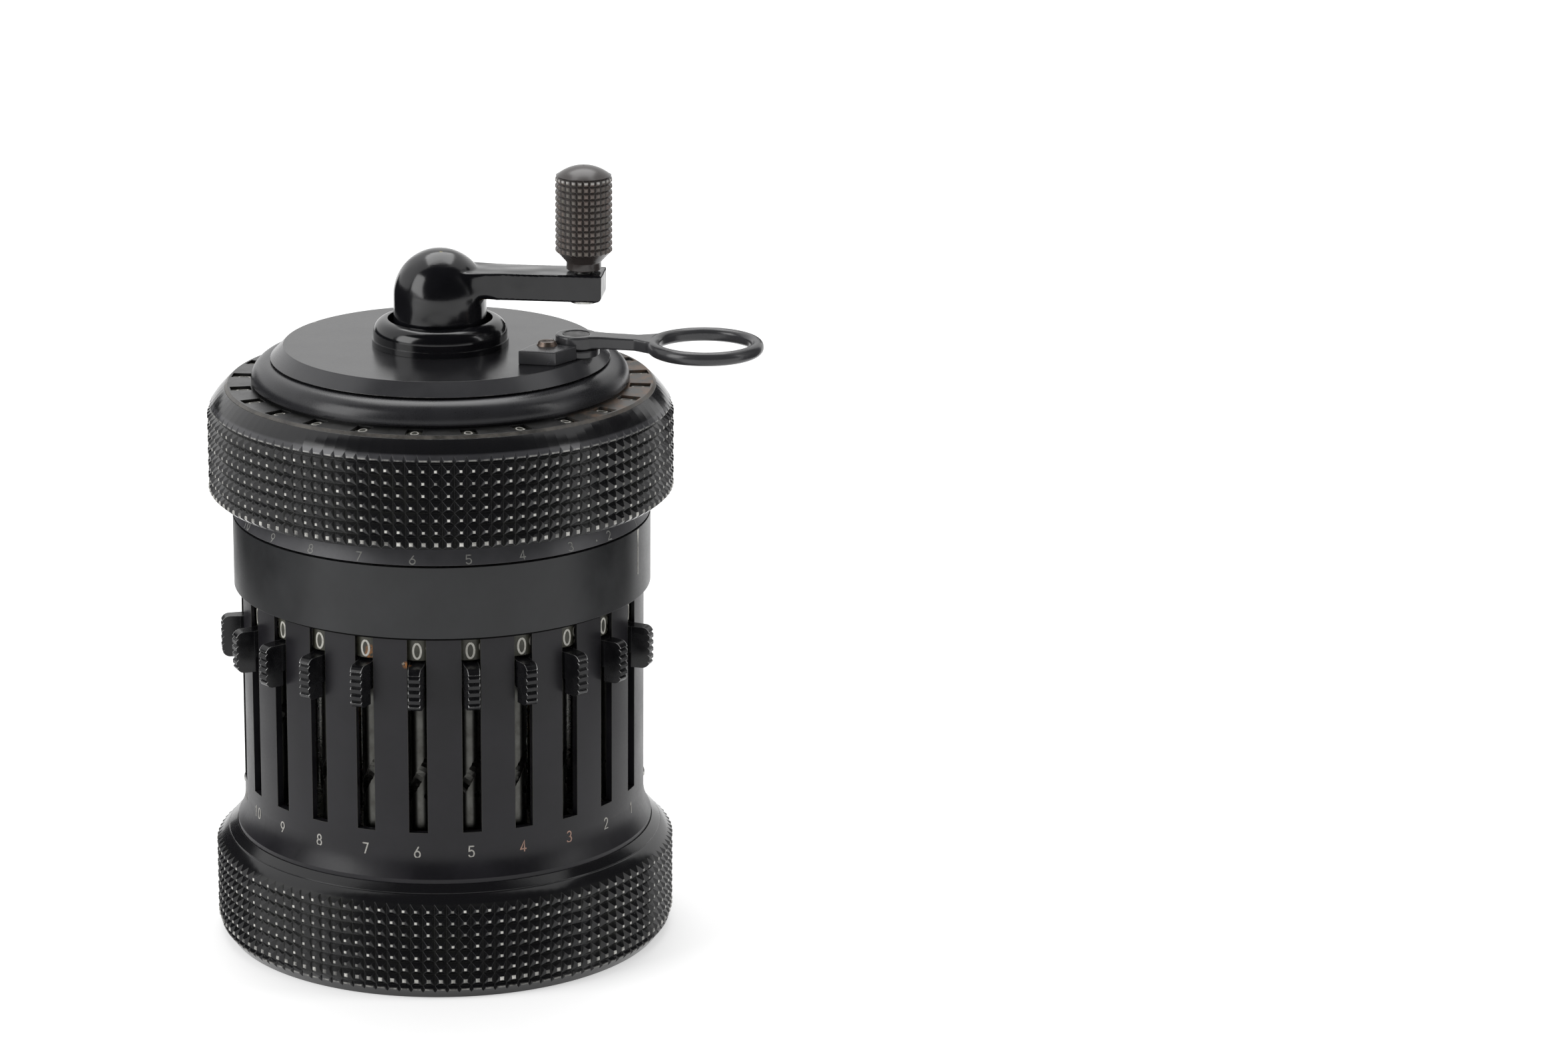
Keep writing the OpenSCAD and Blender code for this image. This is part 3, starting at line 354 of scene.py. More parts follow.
def slider_material():
    """Black slider knobs: glossy flanks, and bright thin lines along the upward edges of the
    ridges, painted as their highlights where the paint is also worn.
    """
    net = Net("slider_black")
    cloud = net.noise(1.5, 3.0)
    outer = net.span(net.radius(), 30.2 * MM, 31.0 * MM, 0.15, 1.0)
    soft = net.rounded(0.07)
    # Painted highlight: near-white on the upward edges of the outer ridges, mixed with wear.
    upward = net.split(soft)[2]
    worn = net.times(net.span(net.edges(0.22), 0.28, 0.46), net.span(cloud, 0.30, 0.60, 0.25, 1.0),
                     outer, net.span(upward, 0.12, 0.34, 0.02, 1.0))
    base = net.blend(net.span(cloud, 0.35, 0.7), (0.005, 0.005, 0.006), (0.011, 0.011, 0.012))
    base = net.blend(worn, base, (0.90, 0.90, 0.89))
    net.set("Base Color", net.marked(base, (((-5.0, -28.4, 47.1), 0.7, RUST),
                                            ((-4.4, -29.0, 46.6), 0.5, RUST))))
    net.set("Roughness", net.mix_value(worn, net.span(cloud, 0.3, 0.7, 0.22, 0.30), 0.4))
    net.set("Specular IOR Level", 0.35)
    net.set("Normal", soft)
    return net.material


def knob_material():
    """Brown-black knob: stud tops painted grey-brown as their highlights over dark grooves, and
    a glossy cap whose edge is painted pale as its highlight.
    """
    net = Net("knob")
    r, z = net.radius(CRANK_END), net.height()
    mottle = net.noise(1.1, 4.0, roughness=0.7)
    # Painted highlight: the stud tops are lighter than the grooves.
    studs = net.times(net.span(r, (KNOB_R - 0.20) * MM, (KNOB_R - 0.02) * MM),
                      net.within(z, 98.8, 109.1, 0.1))
    # Painted highlight along the cap's edge.
    painted_rim_highlight = net.times(net.within(z, 108.95, 109.3, 0.08),
                    net.span(r, (KNOB_R - 0.14) * MM, (KNOB_R - 0.02) * MM),
                    net.span(mottle, 0.3, 0.55))
    cloud = net.span(net.noise(2.5, 2.0), 0.4, 0.6)
    hue = net.blend(cloud, (0.175, 0.132, 0.116), (0.140, 0.134, 0.115))
    top = net.blend(net.span(mottle, 0.35, 0.7), (0.090, 0.074, 0.066), hue)
    base = net.blend(studs, (0.036, 0.030, 0.028), top)
    net.set("Base Color", net.blend(painted_rim_highlight, base, (0.42, 0.41, 0.39)))
    net.set("Roughness", net.mix_value(studs, 0.26, net.span(mottle, 0.3, 0.7, 0.28, 0.42)))
    net.set("Normal", net.bump(mottle, 0.25, 0.012, net.rounded(0.06)))
    return net.material


def screw_material():
    """Browned screw heads. The head in the finger lever's eye is painted near-black as the shade
    of a countersunk hollow.
    """
    net = Net("old_screw")
    stain = net.span(net.noise(0.7, 4.0, roughness=0.65), 0.36, 0.68)
    base = net.blend(stain, (0.26, 0.21, 0.18), (0.09, 0.06, 0.045))
    # Painted shade: the head in the lever's eye is darkened as a hollow.
    painted_hollow_shade = net.spot(LEVER_PIVOT, 3.2)
    net.set("Base Color", net.blend(net.span(painted_hollow_shade, 0.2, 0.5), base, (0.010, 0.010, 0.010)))
    net.set("Metallic", net.span(painted_hollow_shade, 0.5, 0.2, 0.0, 0.9))
    net.set("Roughness", net.span(stain, 0.0, 1.0, 0.3, 0.45))
    net.set("Normal", net.rounded(0.05))
    return net.material


def seam_material():
    """Near-black matte paint for a band of painted shadow under the collar's step."""
    net = Net("seam")
    cloud = net.noise(1.0, 3.0)
    net.set("Base Color", net.blend(cloud, (0.002, 0.002, 0.002), (0.006, 0.006, 0.006)))
    net.set("Roughness", 0.8)
    net.set("Specular IOR Level", 0.05)
    return net.material


def ink(name, colour, faded):
    """Pale figures, a little rubbed and dirty."""
    net = Net(name)
    speck = net.noise(0.28, 4.0, roughness=0.8)
    net.set("Base Color", net.blend(net.span(speck, 0.42, 0.75, 0.0, 0.8), colour, faded))
    net.set("Roughness", net.span(speck, 0.3, 0.7, 0.5, 0.7))
    net.set("Normal", net.bump(speck, 0.3, 0.01))
    return net.material


# Mesh helpers

def add_object(name, mesh):
    made = bpy.data.objects.new(name, mesh)
    bpy.context.scene.collection.objects.link(made)
    return made


def add_piece(name, points, faces, body, material):
    """A new piece from points in millimetres."""
    mesh = bpy.data.meshes.new(name)
    mesh.from_pydata([tuple(p) for p in np.asarray(points, float) * MM], [], faces)
    mesh.update()
    mesh.shade_smooth()
    mesh.set_sharp_from_angle(angle=math.radians(SHARP_DEG))
    mesh.materials.append(material)
    made = add_object(name, mesh)
    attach(made, body)
    return made


def arc_levels(centre_r, centre_z, radius, start_deg, end_deg, steps):
    """(z, radius) along a rounded shoulder."""
    return [(centre_z + radius * math.sin(a), centre_r + radius * math.cos(a))
            for a in np.radians(np.linspace(start_deg, end_deg, steps))]


class Knurl:
    """A turned shape whose outside is cut by upright and level V grooves."""

    def __init__(self, ring_r, depth, columns, flat):
        """Flat is the share of the pitch that a stud's flat top takes."""
        self.ring_r, self.depth, self.columns = ring_r, depth, columns
        self.floor = ring_r - depth
        self.side = (1.0 - flat) / 2.0
        self.levels = []

    def plain(self, *places):
        """Levels without grooves, each a height and a radius."""
        for z, r in places:
            self.levels.append((z, r, r, self.side))

    def ridged(self, z, r):
        """A level where the upright grooves cut a surface of radius r."""
        share = self.side * min(1.0, max(0.0, (r - self.floor) / self.depth))
        self.levels.append((z, min(r, self.floor), r, share))

    def rows(self, z0, z1, count):
        """Rows of studs with a level groove below and above each."""
        pitch = (z1 - z0) / count
        for k in range(count):
            self.plain((z0 + k * pitch, self.floor))
            self.ridged(z0 + (k + self.side) * pitch, self.ring_r)
            self.ridged(z0 + (k + 1 - self.side) * pitch, self.ring_r)
        self.plain((z1, self.floor))

    def mesh(self, centre=(0.0, 0.0)):
        """Points and faces, with the last level joined to the first. A column has three points
        at each level: one in the groove and one at each side of the stud."""
        step = 2 * math.pi / self.columns
        rings = []
        for z, groove, ridge, share in self.levels:
            turn = (np.arange(self.columns)[:, None] + np.array([0.0, share, 1.0 - share])) * step
            radius = np.broadcast_to(np.array([groove, ridge, ridge]), turn.shape)
            x, y = centre[0] + radius * np.cos(turn), centre[1] + radius * np.sin(turn)
            rings.append(np.stack([x, y, np.full(turn.shape, z)], axis=-1).reshape(-1, 3))
        per = 3 * self.columns
        faces = []
        for i, low in enumerate(self.levels):
            j = (i + 1) % len(rings)
            high = self.levels[j]
            for k in range(per):
                n = (k + 1) % per
                a, b, c, d = i * per + k, i * per + n, j * per + n, j * per + k
                near, far = (1 if k % 3 == 0 else 2), (1 if n % 3 == 0 else 2)
                if k % 3 == 1 or low[1] == low[2] and high[1] == high[2]:
                    faces.append((a, b, c, d))
                elif low[near] + high[far] > low[far] + high[near]:
                    faces += [(a, b, c), (a, c, d)]
                else:
                    faces += [(a, b, d), (b, c, d)]
        return np.concatenate(rings), faces


def base_ring_piece():
    """The base ring with its knurling, as a closed turned shape."""
    k = Knurl(RING_R, KNURL_DEPTH, KNURL_COLUMNS, KNURL_FLAT)
    k.plain((0.0, 28.4), (0.0, 31.0))
    k.ridged(0.94, KNURL_FLOOR_R)
    k.ridged(1.5, 32.12)
    k.rows(1.95, 13.85, 7)
    k.plain((14.9, 30.82), (14.98, 30.62), (15.08, 30.60), (15.1, 30.65), (15.16, 30.58),
            (16.0, 29.5), (12.5, 29.5), (12.5, 28.4))
    points, faces = k.mesh()
    made = add_piece("base_ring_knurled", points, faces, "housing",
                     knurl_enamel("base_knurl", low=2.1, high=13.7, highlight_edge_z=1.5, heavy_z=3.6))
    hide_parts("base_ring")


def carriage_ring_piece():
    """The carriage's knurled ring with its rounded shoulder."""
    k = Knurl(RING_R, KNURL_DEPTH, KNURL_COLUMNS, KNURL_FLAT)
    k.plain((64.5, 27.4))
    k.rows(64.5, 76.4, 7)
    for z, r in arc_levels(centre_r=23.476, centre_z=71.820, radius=10.0,
                           start_deg=30.2, end_deg=49.28, steps=14):
        k.ridged(z, r)
    k.plain((66.4, 30.0), (66.4, 27.4))
    points, faces = k.mesh()
    made = add_piece("carriage_ring_knurled", points, faces, "carriage",
                     knurl_enamel("carriage_knurl", low=64.7, high=76.3, highlight_edge_z=76.85,
                                  heavy_z=66.2, grey=(76.9, 77.5)))
    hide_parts("carriage_ring")


def knob_piece():
    """The crank's knob with square studs and a domed cap."""
    bore_z, bore_r = (96.3, 107.1), 1.3
    k = Knurl(KNOB_R, depth=0.3, columns=27, flat=0.40)
    k.plain((bore_z[0], bore_r), (bore_z[0], 2.3), (96.4, 2.4), (97.3, 2.4), (97.5, 2.5))
    k.rows(*STUDS_Z, 12)
    edge = KNOB_R - 0.12
    k.plain((109.52, edge))
    cap = KNOB_TOP_Z - STUDS_Z[1]
    cap_r = (KNOB_R ** 2 + cap ** 2) / (2 * cap)
    for share in np.linspace(0.0, 0.97, 9):
        r = (edge - 0.05) * (1 - share)
        k.plain((KNOB_TOP_Z - cap_r + math.sqrt(cap_r ** 2 - (r + 0.05) ** 2), r))
    k.plain((bore_z[1], 0.1), (bore_z[1], bore_r))
    points, faces = k.mesh(CRANK_END)
    made = add_piece("crank_knob_studded", points, faces, "knob", knob_material())
    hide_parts("crank_knob")


def spring_piece():
    """The carriage's wire spring, drawn as a coil of one length. The real one closes up against
    its nut as the carriage lifts.
    """
    turns, per_turn, sides, wire = 6, 36, 10, 0.4
    low, high, coil_r = 72.0, 84.6, 6.6
    steps = turns * per_turn
    points, faces = [], []
    for i in range(steps + 1):
        a = 2 * math.pi * i / per_turn
        z = low + wire + (high - low - 2 * wire) * i / steps
        for s in range(sides):
            b = 2 * math.pi * s / sides
            r = coil_r + wire * math.cos(b)
            points.append((r * math.cos(a), r * math.sin(a), z + wire * math.sin(b)))
    for i in range(steps):
        for s in range(sides):
            n = (s + 1) % sides
            here, ahead = i * sides, (i + 1) * sides
            faces.append((here + s, ahead + s, ahead + n, here + n))
    faces.append(tuple(range(sides)))
    faces.append(tuple(steps * sides + s for s in range(sides))[::-1])
    made = add_piece("carriage_spring_wire", points, faces, "housing",
                     metal("spring_steel", (0.42, 0.42, 0.41), 0.25, (0.22, 0.20, 0.17)))
    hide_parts("carriage_spring")
    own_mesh(made)


def collar_seam():
    """A thin dark band round the tube just under the collar, painted as the collar's shadow, as a
    closed ring.
    """
    low, high, outer, inner = 50.68, 51.19, TUBE_R + 0.03, TUBE_R - 0.05
    section = ((TUBE_R, low), (outer, low + 0.02), (outer, high - 0.02), (TUBE_R, high),
               (inner, high), (inner, low))
    steps, per = 180, len(section)
    points, faces = [], []
    for k in range(steps):
        a = 2 * math.pi * k / steps
        points += [(r * math.cos(a), r * math.sin(a), z) for r, z in section]
        here, ahead = k * per, (k + 1) % steps * per
        for i in range(per):
            j = (i + 1) % per
            faces.append((here + i, ahead + i, ahead + j, here + j))
    add_piece("collar_seam", points, faces, "housing", seam_material())


def apply_modifiers(made):
    graph = bpy.context.evaluated_depsgraph_get()
    made.data = bpy.data.meshes.new_from_object(made.evaluated_get(graph))
    made.modifiers.clear()


def smooth(made, passes, group_name=""):
    modifier = made.modifiers.new("smooth", "SMOOTH")
    modifier.factor = 0.5
    modifier.iterations = passes
    modifier.vertex_group = group_name
    apply_modifiers(made)


def fill_corner(made, place, radius, passes):
    """Smooths only near a point, so that a sharp inner corner becomes a fillet."""
    group = made.vertex_groups.new(name="corner")
    centre = Vector(place) * MM
    for v in made.data.vertices:
        share = 1.0 - (v.co - centre).length / (radius * MM)
        if share > 0:
            group.add([v.index], min(1.0, share * 2.0), "REPLACE")
    smooth(made, passes, group.name)


def softened(node, name, body, material, voxel_mm, passes, fillet=None):
    """A copy of a CAD node with its corners rounded over, as a casting's are. A fillet is a
    point, a radius and a number of passes that fill the corner there."""
    made = add_object(name, NODES[node].data.copy())
    remesh = made.modifiers.new("remesh", "REMESH")
    remesh.mode = "VOXEL"
    remesh.voxel_size = voxel_mm * MM
    smooth(made, passes)
    if fillet:
        fill_corner(made, *fillet)
    made.data.materials.clear()
    made.data.materials.append(material)
    made.data.shade_smooth()
    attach(made, body)
    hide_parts(node)


# Numerals

FIGURE_WIDTH = 0.56
FIGURE_GAP = 0.35


def arc(cx, cy, rx, ry, start, end, steps=14):
    """Points along part of an ellipse, with its angles in degrees."""
    return [(cx + rx * math.cos(a), cy + ry * math.sin(a))
            for a in np.radians(np.linspace(start, end, steps))]


def figure(digit):
    """Strokes of one figure, one unit high, FIGURE_WIDTH wide and centred on x = 0."""
    six = [[(0.12, 1.0), (-0.22, 0.46)], arc(0, 0.3, 0.28, 0.3, 150, 510, 22)]
    return {
        0: [arc(0, 0.5, 0.28, 0.5, 90, 450, 26)],
        1: [[(-0.16, 0.8), (0.04, 1.0), (0.04, 0.0)]],
        2: [arc(0, 0.72, 0.27, 0.28, 165, -35) + [(-0.28, 0.0), (0.29, 0.0)]],
        3: [arc(-0.02, 0.75, 0.25, 0.25, 150, -85), arc(-0.02, 0.25, 0.29, 0.26, 85, -150)],
        4: [[(0.12, 0.0), (0.12, 1.0), (-0.29, 0.26), (0.29, 0.26)]],
        5: [[(0.25, 1.0), (-0.2, 1.0), (-0.23, 0.56)] + arc(0.0, 0.31, 0.28, 0.31, 125, -150)],
        6: six,
        7: [[(-0.28, 1.0), (0.28, 1.0), (-0.06, 0.0)]],
        8: [arc(0, 0.75, 0.23, 0.25, -90, 270, 20), arc(0, 0.26, 0.28, 0.26, 90, 450, 22)],
        9: [[(-x, 1.0 - y) for x, y in stroke] for stroke in six],
    }[digit]


def ribbon(stroke, width):
    """Flat band along a stroke with round ends: points and faces in the plane."""
    line = np.array(stroke, float)
    steps = np.diff(line, axis=0)
    steps /= np.linalg.norm(steps, axis=1)[:, None]
    tangent = np.concatenate([steps[:1], steps[:-1] + steps[1:], steps[-1:]])
    tangent /= np.linalg.norm(tangent, axis=1)[:, None]
    normal = np.stack([-tangent[:, 1], tangent[:, 0]], axis=1)
    reach = np.ones(len(line))
    reach[1:-1] = 1.0 / np.maximum(0.5, np.abs(np.sum(tangent[1:-1] * steps[:-1], axis=1)))
    left = line + normal * (reach * width / 2)[:, None]
    right = line - normal * (reach * width / 2)[:, None]
    points = [tuple(p) for p in np.concatenate([left, right])]
    n = len(line)
    faces = [(i, n + i, n + i + 1, i + 1) for i in range(n - 1)]
    closed = np.linalg.norm(line[0] - line[-1]) < 1e-6
    for end, sign in (() if closed else ((0, -1), (n - 1, 1))):
        fan = [end, n + end][::sign]
        for a in np.radians([150, 120, 90, 60, 30][::sign]):
            swing = (normal[end] * math.cos(a) + tangent[end] * math.sin(a)) * sign
            fan.append(len(points))
            points.append(tuple(line[end] + swing * width / 2))
        faces.append(tuple(fan))
    return points, faces


def lettering(text, height, width, stroke):
    """A number as ribbons in the plane, centred on x = 0, with y from 0 to height."""
    points, faces = [], []
    pitch = width * (1 + FIGURE_GAP)
    start = -pitch * (len(text) - 1) / 2
    for place, char in enumerate(text):
        middle = start + place * pitch
        for line in figure(int(char)):
            placed = [(middle + x / FIGURE_WIDTH * (width - stroke), stroke / 2 + y * (height - stroke))
                      for x, y in line]
            more, shapes = ribbon(placed, stroke)
            shift = len(points)
            points += more
            faces += [tuple(shift + i for i in face) for face in shapes]
    return np.array(points), faces


def raised(flat, faces, place, thick):
    """Lifts plane ribbons onto a surface: place(x, y, rise) gives the point in space."""
    top = [place(x, y, thick) for x, y in flat]
    low = [place(x, y, -thick) for x, y in flat]
    n = len(flat)
    edges = dict.fromkeys(pair for face in faces for pair in zip(face, face[1:] + face[:1]))
    walls = [(b, a, n + a, n + b) for a, b in edges if (b, a) not in edges]
    return top + low, list(faces) + [tuple(n + i for i in face[::-1]) for face in faces] + walls


def on_upright(centre, radius, azimuth_deg, z0, slope=0.0):
    """Places x round an upright cylinder or cone, and y up it. Slope is the radius's change
    with height."""
    def place(x, y, rise):
        r = radius + slope * y + rise
        a = math.radians(azimuth_deg) + x / radius
        return (centre[0] + r * math.sin(a), centre[1] - r * math.cos(a), z0 + y)
    return place


class Batch:
    """Collects ribbons into one mesh."""

    def __init__(self):
        self.points, self.faces = [], []

    def add(self, number, place, height, width, stroke, thick=0.02):
        flat, faces = lettering(str(number), height, width, stroke)
        self.add_shape(flat, faces, place, thick)

    def add_shape(self, flat, faces, place, thick=0.02):
        points, shapes = raised(flat, faces, place, thick)
        shift = len(self.points)
        self.points += points
        self.faces += [tuple(shift + i for i in face) for face in shapes]

    def piece(self, name, body, material):
        add_piece(name, self.points, self.faces, body, material)


def slider_azimuth(n):
    return FIRST_AZIMUTH - SLOT_PITCH * (n - 1)


def slot_numerals(pale, reddish):
    """The numbers of the slots, on the tube below them."""
    for name, numbers, material in (("slot_numbers", (1, 2, 5, 6, 7, 8, 9, 10, 11), pale),
                                    ("slot_numbers_red", (3, 4), reddish)):
        batch = Batch()
        for n in numbers:
            place = on_upright((0, 0), TUBE_R + 0.07, slider_azimuth(n) - 0.4, 19.35, -0.05)
            batch.add(n, place, height=1.7, width=0.95, stroke=0.19)
        batch.piece(name, "housing", material)


def band_numerals(dim):
    """The place numbers on the band under the carriage."""
    batch = Batch()
    foot_r, foot_z, top_r, top_z = 29.2, 61.5, 28.1, 64.5
    slope = (top_r - foot_r) / (top_z - foot_z)
    low = 61.62
    radius = foot_r + slope * (low - foot_z)
    for n in range(1, SLIDERS + 1):
        place = on_upright((0, 0), radius, slider_azimuth(n) - 0.6, low, slope)
        batch.add(n, place, height=1.25, width=0.9, stroke=0.15)
    dot = arc(0, 0.5, 0.14, 0.14, 0, 330, 12)
    batch.add_shape(dot, [tuple(range(len(dot)))], on_upright((0, 0), radius, 46.5, low, slope))
    batch.piece("band_numbers", "carriage", dim)


def drum_numerals(white):
    """Figures 0 to 9 round each setting shaft's drum, with 0 to the front at rest."""
    for n in range(1, SLIDERS + 1):
        a = math.radians(slider_azimuth(n))
        centre = (SETTING_R * math.sin(a), -SETTING_R * math.cos(a))
        batch = Batch()
        for digit in range(10):
            turn = slider_azimuth(n) - DIGIT_STEP * digit
            place = on_upright(centre, DRUM_R, turn, DRUM_FOOT_Z)
            batch.add(digit, place, height=2.4, width=1.35, stroke=0.28)
        batch.piece("drum_figures_%d" % n, "helix_%d" % n, white)


def dial_numerals(pale):
    """Figures round each numeral dial of the carriage. The first result dial stands above the
    first slider."""
    batch = Batch()
    for k in range(COUNTER_DIALS + RESULT_DIALS):
        a = math.radians(FIRST_AZIMUTH + (COUNTER_DIALS - k) * SLOT_PITCH)
        out = Vector((math.sin(a), -math.cos(a), 0))
        side = Vector((math.cos(a), math.sin(a), 0))
        for digit in range(10):
            def place(x, y, rise):
                turn = math.radians(DIGIT_STEP * digit) + x / DIAL_R
                r = DIAL_R + rise
                point = out * (DIAL_FACE_R - y) + side * (r * math.sin(turn))
                return (point.x, point.y, DIAL_AXIS_Z + r * math.cos(turn))
            batch.add(digit, place, height=1.7, width=1.2, stroke=0.2, thick=0.015)
    batch.piece("dial_figures", "carriage", pale)


def collar_index(white):
    """The white index wedge at the collar's top, and the line below it."""
    batch = Batch()
    place = on_upright((0, 0), COLLAR_R, FIRST_AZIMUTH, z0=57.9)
    batch.add_shape([(-0.28, 3.2), (0.28, 3.2), (0.0, 0.6)], [(2, 1, 0)], place)
    batch.add_shape([(-0.08, 0.7), (0.08, 0.7), (0.08, -3.3), (-0.08, -3.3)], [(3, 2, 1, 0)], place)
    batch.piece("collar_index", "housing", white)


def numerals():
    """Every printed figure and mark, in its own ink."""
    pale = ink("pale_ink", (0.42, 0.41, 0.38), (0.17, 0.165, 0.145))
    dim = ink("dim_ink", (0.25, 0.25, 0.235), (0.12, 0.12, 0.11))
    white = ink("white_ink", (0.60, 0.59, 0.54), (0.28, 0.27, 0.23))
    reddish = ink("reddish_ink", (0.36, 0.22, 0.17), (0.16, 0.11, 0.09))
    slot_numerals(pale, reddish)
    band_numerals(dim)
    drum_numerals(white)
    dial_numerals(pale)
    collar_index(white)


# Materials on the CAD nodes

def paint_nodes():
    """Gives each CAD node its material, and makes the softened pieces."""
    # Painted glints: small pale spots on the clearing plate's back-left rim.
    plate_rim_glints = [((-17.9, 12.6, 84.9), 0.7, PLATE_GLINT_COLOUR), ((-16.2, 14.7, 84.8), 0.5, PLATE_GLINT_COLOUR),
             ((-19.7, 9.5, 84.8), 0.5, PLATE_GLINT_COLOUR)]
    # On the crank: a brass-coloured spot on top of the dome, and two pale spots painted as highlights
    # where the arm's root fillet meets the hub.
    crank_spot_and_glints = [((0.2, -1.4, 98.8), 0.5, (0.42, 0.36, 0.16)), ((5.6, -6.0, 94.4), 0.5, ROOT_GLINT_COLOUR),
            ((8.6, -6.3, 94.9), 0.4, ROOT_GLINT_COLOUR)]
    stain = [((-5.1, -27.8, 47.1), 0.6, RUST), ((-5.5, -27.8, 47.3), 0.25, (0.5, 0.45, 0.36))]
    gloss = enamel("gloss_black", (0.004, 0.004, 0.005), 0.16)
    cast = enamel("cast_black", (0.004, 0.004, 0.005), 0.16, marks=crank_spot_and_glints, wavy_mm=0.5)
    flange = enamel("flange_black", (0.016, 0.016, 0.018), 0.29, turned=0.2, wear=0.2, level=0.4)
    # The plate's grey band is a painted highlight on its bevelled rim.
    plate = enamel("plate_black", (0.007, 0.007, 0.008), 0.22, turned=0.3, wear=0.2, marks=plate_rim_glints,
                   grey=(83.0, 86.0, 21.75, (0.040, 0.040, 0.043)))
    satin = enamel("tube_black", (0.008, 0.0075, 0.0095), 0.36, turned=0.1, wear=0.8, edge_mm=0.13,
                   worn=(0.115, 0.12, 0.092), gate=(0.2, 0.45), level=0.3, marks=stain)
    collar = enamel("collar_black", (0.010, 0.0105, 0.0115), 0.34, turned=0.12, wear=0.1, level=0.4)
    band = enamel("band_black", (0.046, 0.046, 0.050), 0.40, turned=0.12, wear=0.1, level=0.4)
    lever = enamel("lever_black", (0.028, 0.028, 0.030), 0.24, wear=0.6)
    slider, shaft, dial, screw = slider_material(), shaft_material(), dial_material(), screw_material()
    steel = metal("steel", (0.50, 0.50, 0.48), 0.28, (0.30, 0.28, 0.24))
    brass = metal("brass", (0.60, 0.43, 0.20), 0.30, (0.34, 0.22, 0.11))
    dull = metal("dull_steel", (0.20, 0.20, 0.19), 0.38, (0.10, 0.095, 0.08))
    by_name = {
        "body_tube": satin, "upper_collar": collar, "number_band": band, "dial_cover": cover_material(),
        "result_dials": dial, "counter_dials": dial, "top_flange": flange, "clearing_plate": plate,
        "center_boss": gloss, "lever_screws": screw, "reversing_lever": slider, "base_plate": plate,
        "upper_plate": dull,
    }
    by_slot = {"steel": steel, "brass": brass}
    for name, made in NODES.items():
        if name.startswith("slider_"):
            material = slider
        elif name.startswith("setting_shaft_"):
            material = shaft
        elif name in by_name:
            material = by_name[name]
        else:
            kind = made.data.materials[0].name.split(".")[0]
            material = by_slot.get(kind, gloss)
        for slot in made.material_slots:
            slot.material = material
    softened("crank", "crank_cast", "drive", cast, voxel_mm=0.13, passes=10,
             fillet=((4.3, -5.0, 92.9), 3.6, 200))
    softened("clearing_lever", "clearing_lever_forged", "finger_lever", lever,
             voxel_mm=0.11, passes=10)
    softened("lever_bracket", "lever_bracket_filed", "clearing_disc", lever,
             voxel_mm=0.09, passes=5)


# Studio

WHITE = (1.0, 1.0, 1.0, 1.0)


def floor_piece():
    """A wide pale floor that shows white and keeps a soft shadow. Far off it glows more, so
    that it stays white in low views."""
    half = 6.0
    corners = [(x * half, y * half, 0.0) for x, y in ((-1, -1), (1, -1), (1, 1), (-1, 1))]
    mesh = bpy.data.meshes.new("floor")
    mesh.from_pydata(corners, [], [(0, 1, 2, 3)])
    net = Net("floor")
    mesh.materials.append(net.material)
    net.set("Base Color", net.blend(net.noise(400.0), (0.80, 0.80, 0.80), (0.82, 0.82, 0.82)))
    net.set("Roughness", 1.0)
    net.set("Specular IOR Level", 0.0)
    net.set("Emission Color", WHITE)
    far = net.span(net.radius(), 0.35, 1.2, 0.42, 0.70)
    net.set("Emission Strength", net.times(net.seen(), far))
    add_object("floor", mesh)


def soft_light(name, place, target, width, height, watts):
    data = bpy.data.lights.new(name, "AREA")
    data.shape = "RECTANGLE"
    data.size = width
    data.size_y = height
    data.energy = watts
    made = add_object(name, data)
    made.location = place
    made.rotation_euler = (Vector(target) - Vector(place)).to_track_quat("-Z", "Y").to_euler()


def dark_material():
    """Dull black paper of the cards."""
    net = Net("card_black")
    net.set("Base Color", net.blend(net.noise(30.0), (0.012, 0.012, 0.013), (0.018, 0.018, 0.019)))
    net.set("Roughness", 1.0)
    net.set("Specular IOR Level", 0.0)
    return net.material


def card(name, points, faces, material):
    """A dark card beside the object that only its reflections show."""
    mesh = bpy.data.meshes.new(name)
    mesh.from_pydata(points, [], faces)
    mesh.materials.append(material)
    made = add_object(name, mesh)
    made.visible_camera = False
    made.visible_diffuse = False
    made.visible_transmission = False
    made.visible_shadow = False


def upright_card(name, azimuth, distance, width, low, high, material):
    """A card that stands upright and faces the object."""
    a = math.radians(azimuth)
    base = Vector((math.sin(a), -math.cos(a), 0.0)) * distance
    side = Vector((math.cos(a), math.sin(a), 0.0)) * (width / 2)
    corners = ((base - side, low), (base + side, low), (base + side, high), (base - side, high))
    card(name, [(p.x, p.y, z) for p, z in corners], [(0, 1, 2, 3)], material)


def dark_room(material):
    """The unlit side of the room behind the camera, as part of a sphere."""
    radius, steps, rows = 1.7, 24, 14
    wide = steps + 1
    points = []
    for up in np.radians(np.linspace(3, 104, rows + 1)):
        level = radius * math.cos(up)
        for a in np.radians(np.linspace(-88, 88, wide)):
            points.append((level * math.sin(a), -level * math.cos(a), radius * math.sin(up)))
    faces = [(i * wide + k, i * wide + k + 1, (i + 1) * wide + k + 1, (i + 1) * wide + k)
             for i in range(rows) for k in range(steps)]
    card("dark_room", points, faces, material)


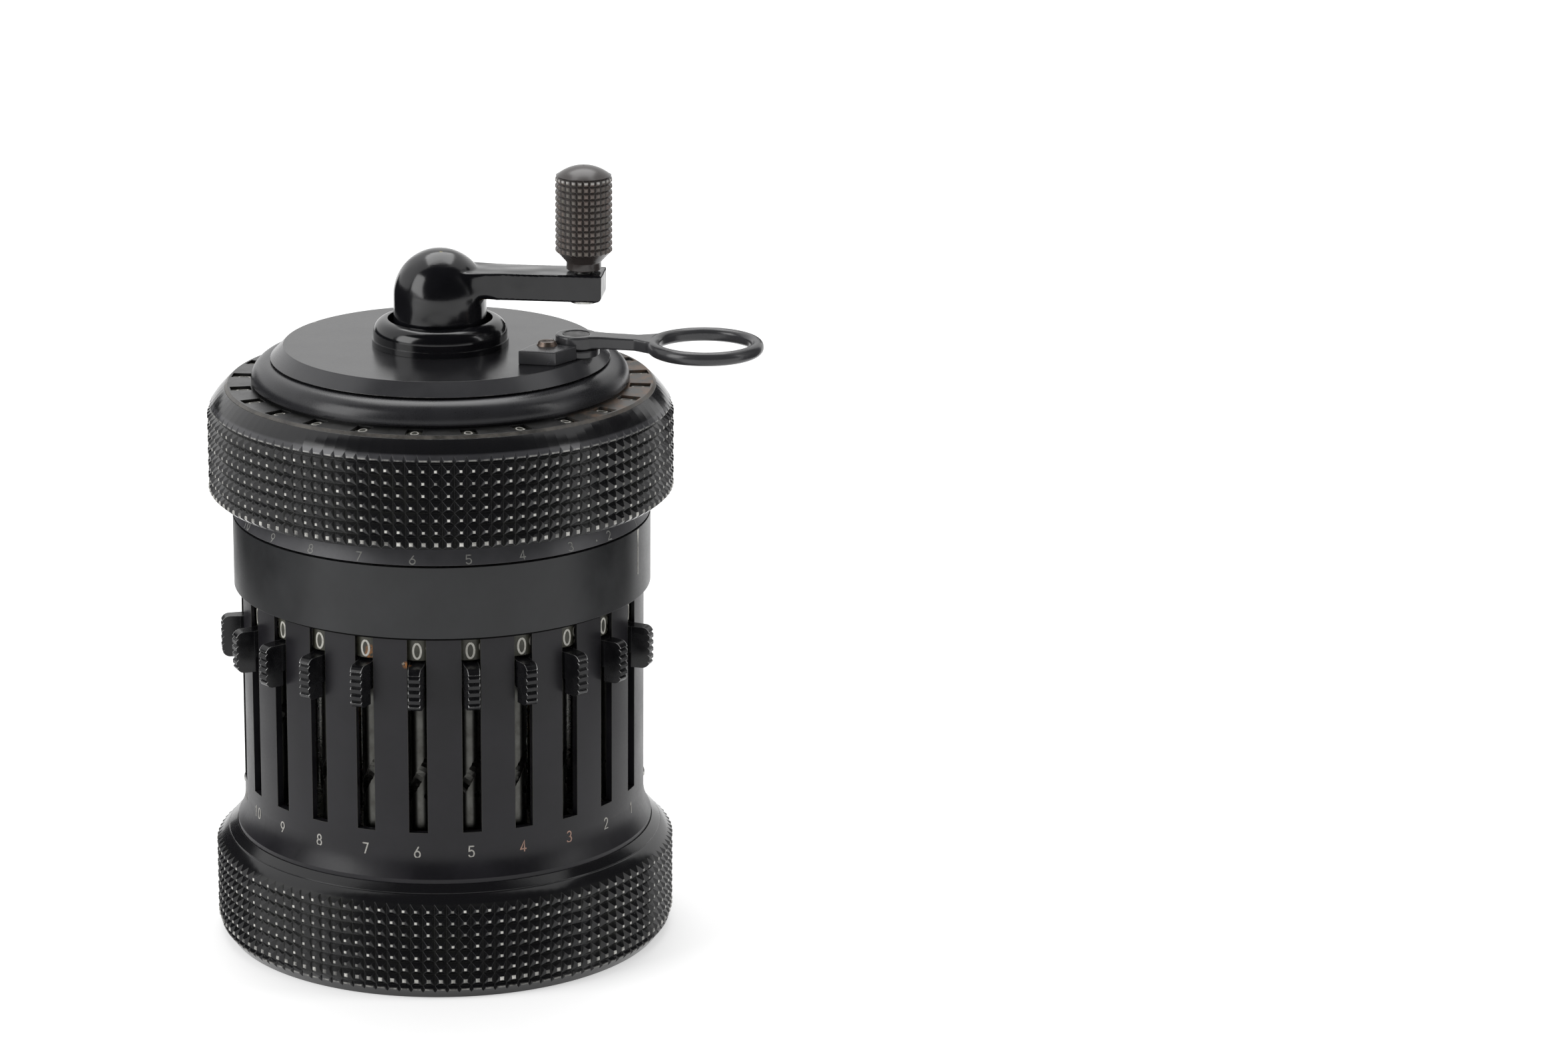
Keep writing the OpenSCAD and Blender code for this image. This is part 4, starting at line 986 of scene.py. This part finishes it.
def cards():
    """Dark surroundings that give the black enamel its contrast."""
    black = dark_material()
    dark_room(black)
    for name, azimuth, distance, width, low, high in (
            ("card_left", -112, 0.16, 0.26, 0.0, 0.10),
            ("card_right", 98, 0.15, 0.14, 0.0, 0.22),
            ("card_behind", 144.5, 0.078, 0.05, 0.080, 0.10)):
        upright_card(name, azimuth, distance, width, low, high, black)


def studio():
    """A white world, dimmer for diffuse light, and three soft lamps."""
    world = bpy.data.worlds.new("studio")
    bpy.context.scene.world = world
    world.use_nodes = True
    net = Tree(world.node_tree)
    background = net.tree.nodes["Background"]
    net.feed(background.inputs["Color"], WHITE)
    net.feed(background.inputs["Strength"], net.span(net.seen(), 0.0, 1.0, 0.45, 1.0))
    middle = (0, 0, 0.06)
    soft_light("key_left", (-0.92, -0.42, 0.52), middle, width=0.62, height=0.90, watts=7.5)
    soft_light("key_right", (1.0, -0.18, 0.48), middle, width=0.32, height=0.80, watts=3.2)
    soft_light("overhead", (0.0, 0.45, 1.0), (0, 0, 0.05), width=0.70, height=0.70, watts=5.0)
    bpy.context.scene.view_settings.view_transform = "Standard"


def camera():
    """The photograph's viewpoint, fitted to it: in front and above, turned a little to the
    right. The angles are how far it looks down, turns and rolls."""
    data = bpy.data.cameras.new("camera")
    data.lens = 110.998
    data.sensor_width = 36.0
    made = add_object("camera", data)
    down, yaw, roll = (math.radians(a) for a in (16.182, 4.209, 0.571))
    level = math.cos(down)
    ahead = Vector((math.sin(yaw) * level, math.cos(yaw) * level, -math.sin(down)))
    right = Vector((math.cos(yaw), -math.sin(yaw), 0.0))
    up = right.cross(ahead)
    across = right * math.cos(roll) + up * math.sin(roll)
    above = up * math.cos(roll) - right * math.sin(roll)
    turn = Matrix((across, above, -ahead)).transposed()
    made.matrix_world = Matrix.Translation((0.0, -0.654233, 0.24904)) @ turn.to_4x4()
    bpy.context.scene.camera = made


camera()
studio()
floor_piece()
cards()
paint_nodes()
base_ring_piece()
carriage_ring_piece()
knob_piece()
spring_piece()
collar_seam()
numerals()
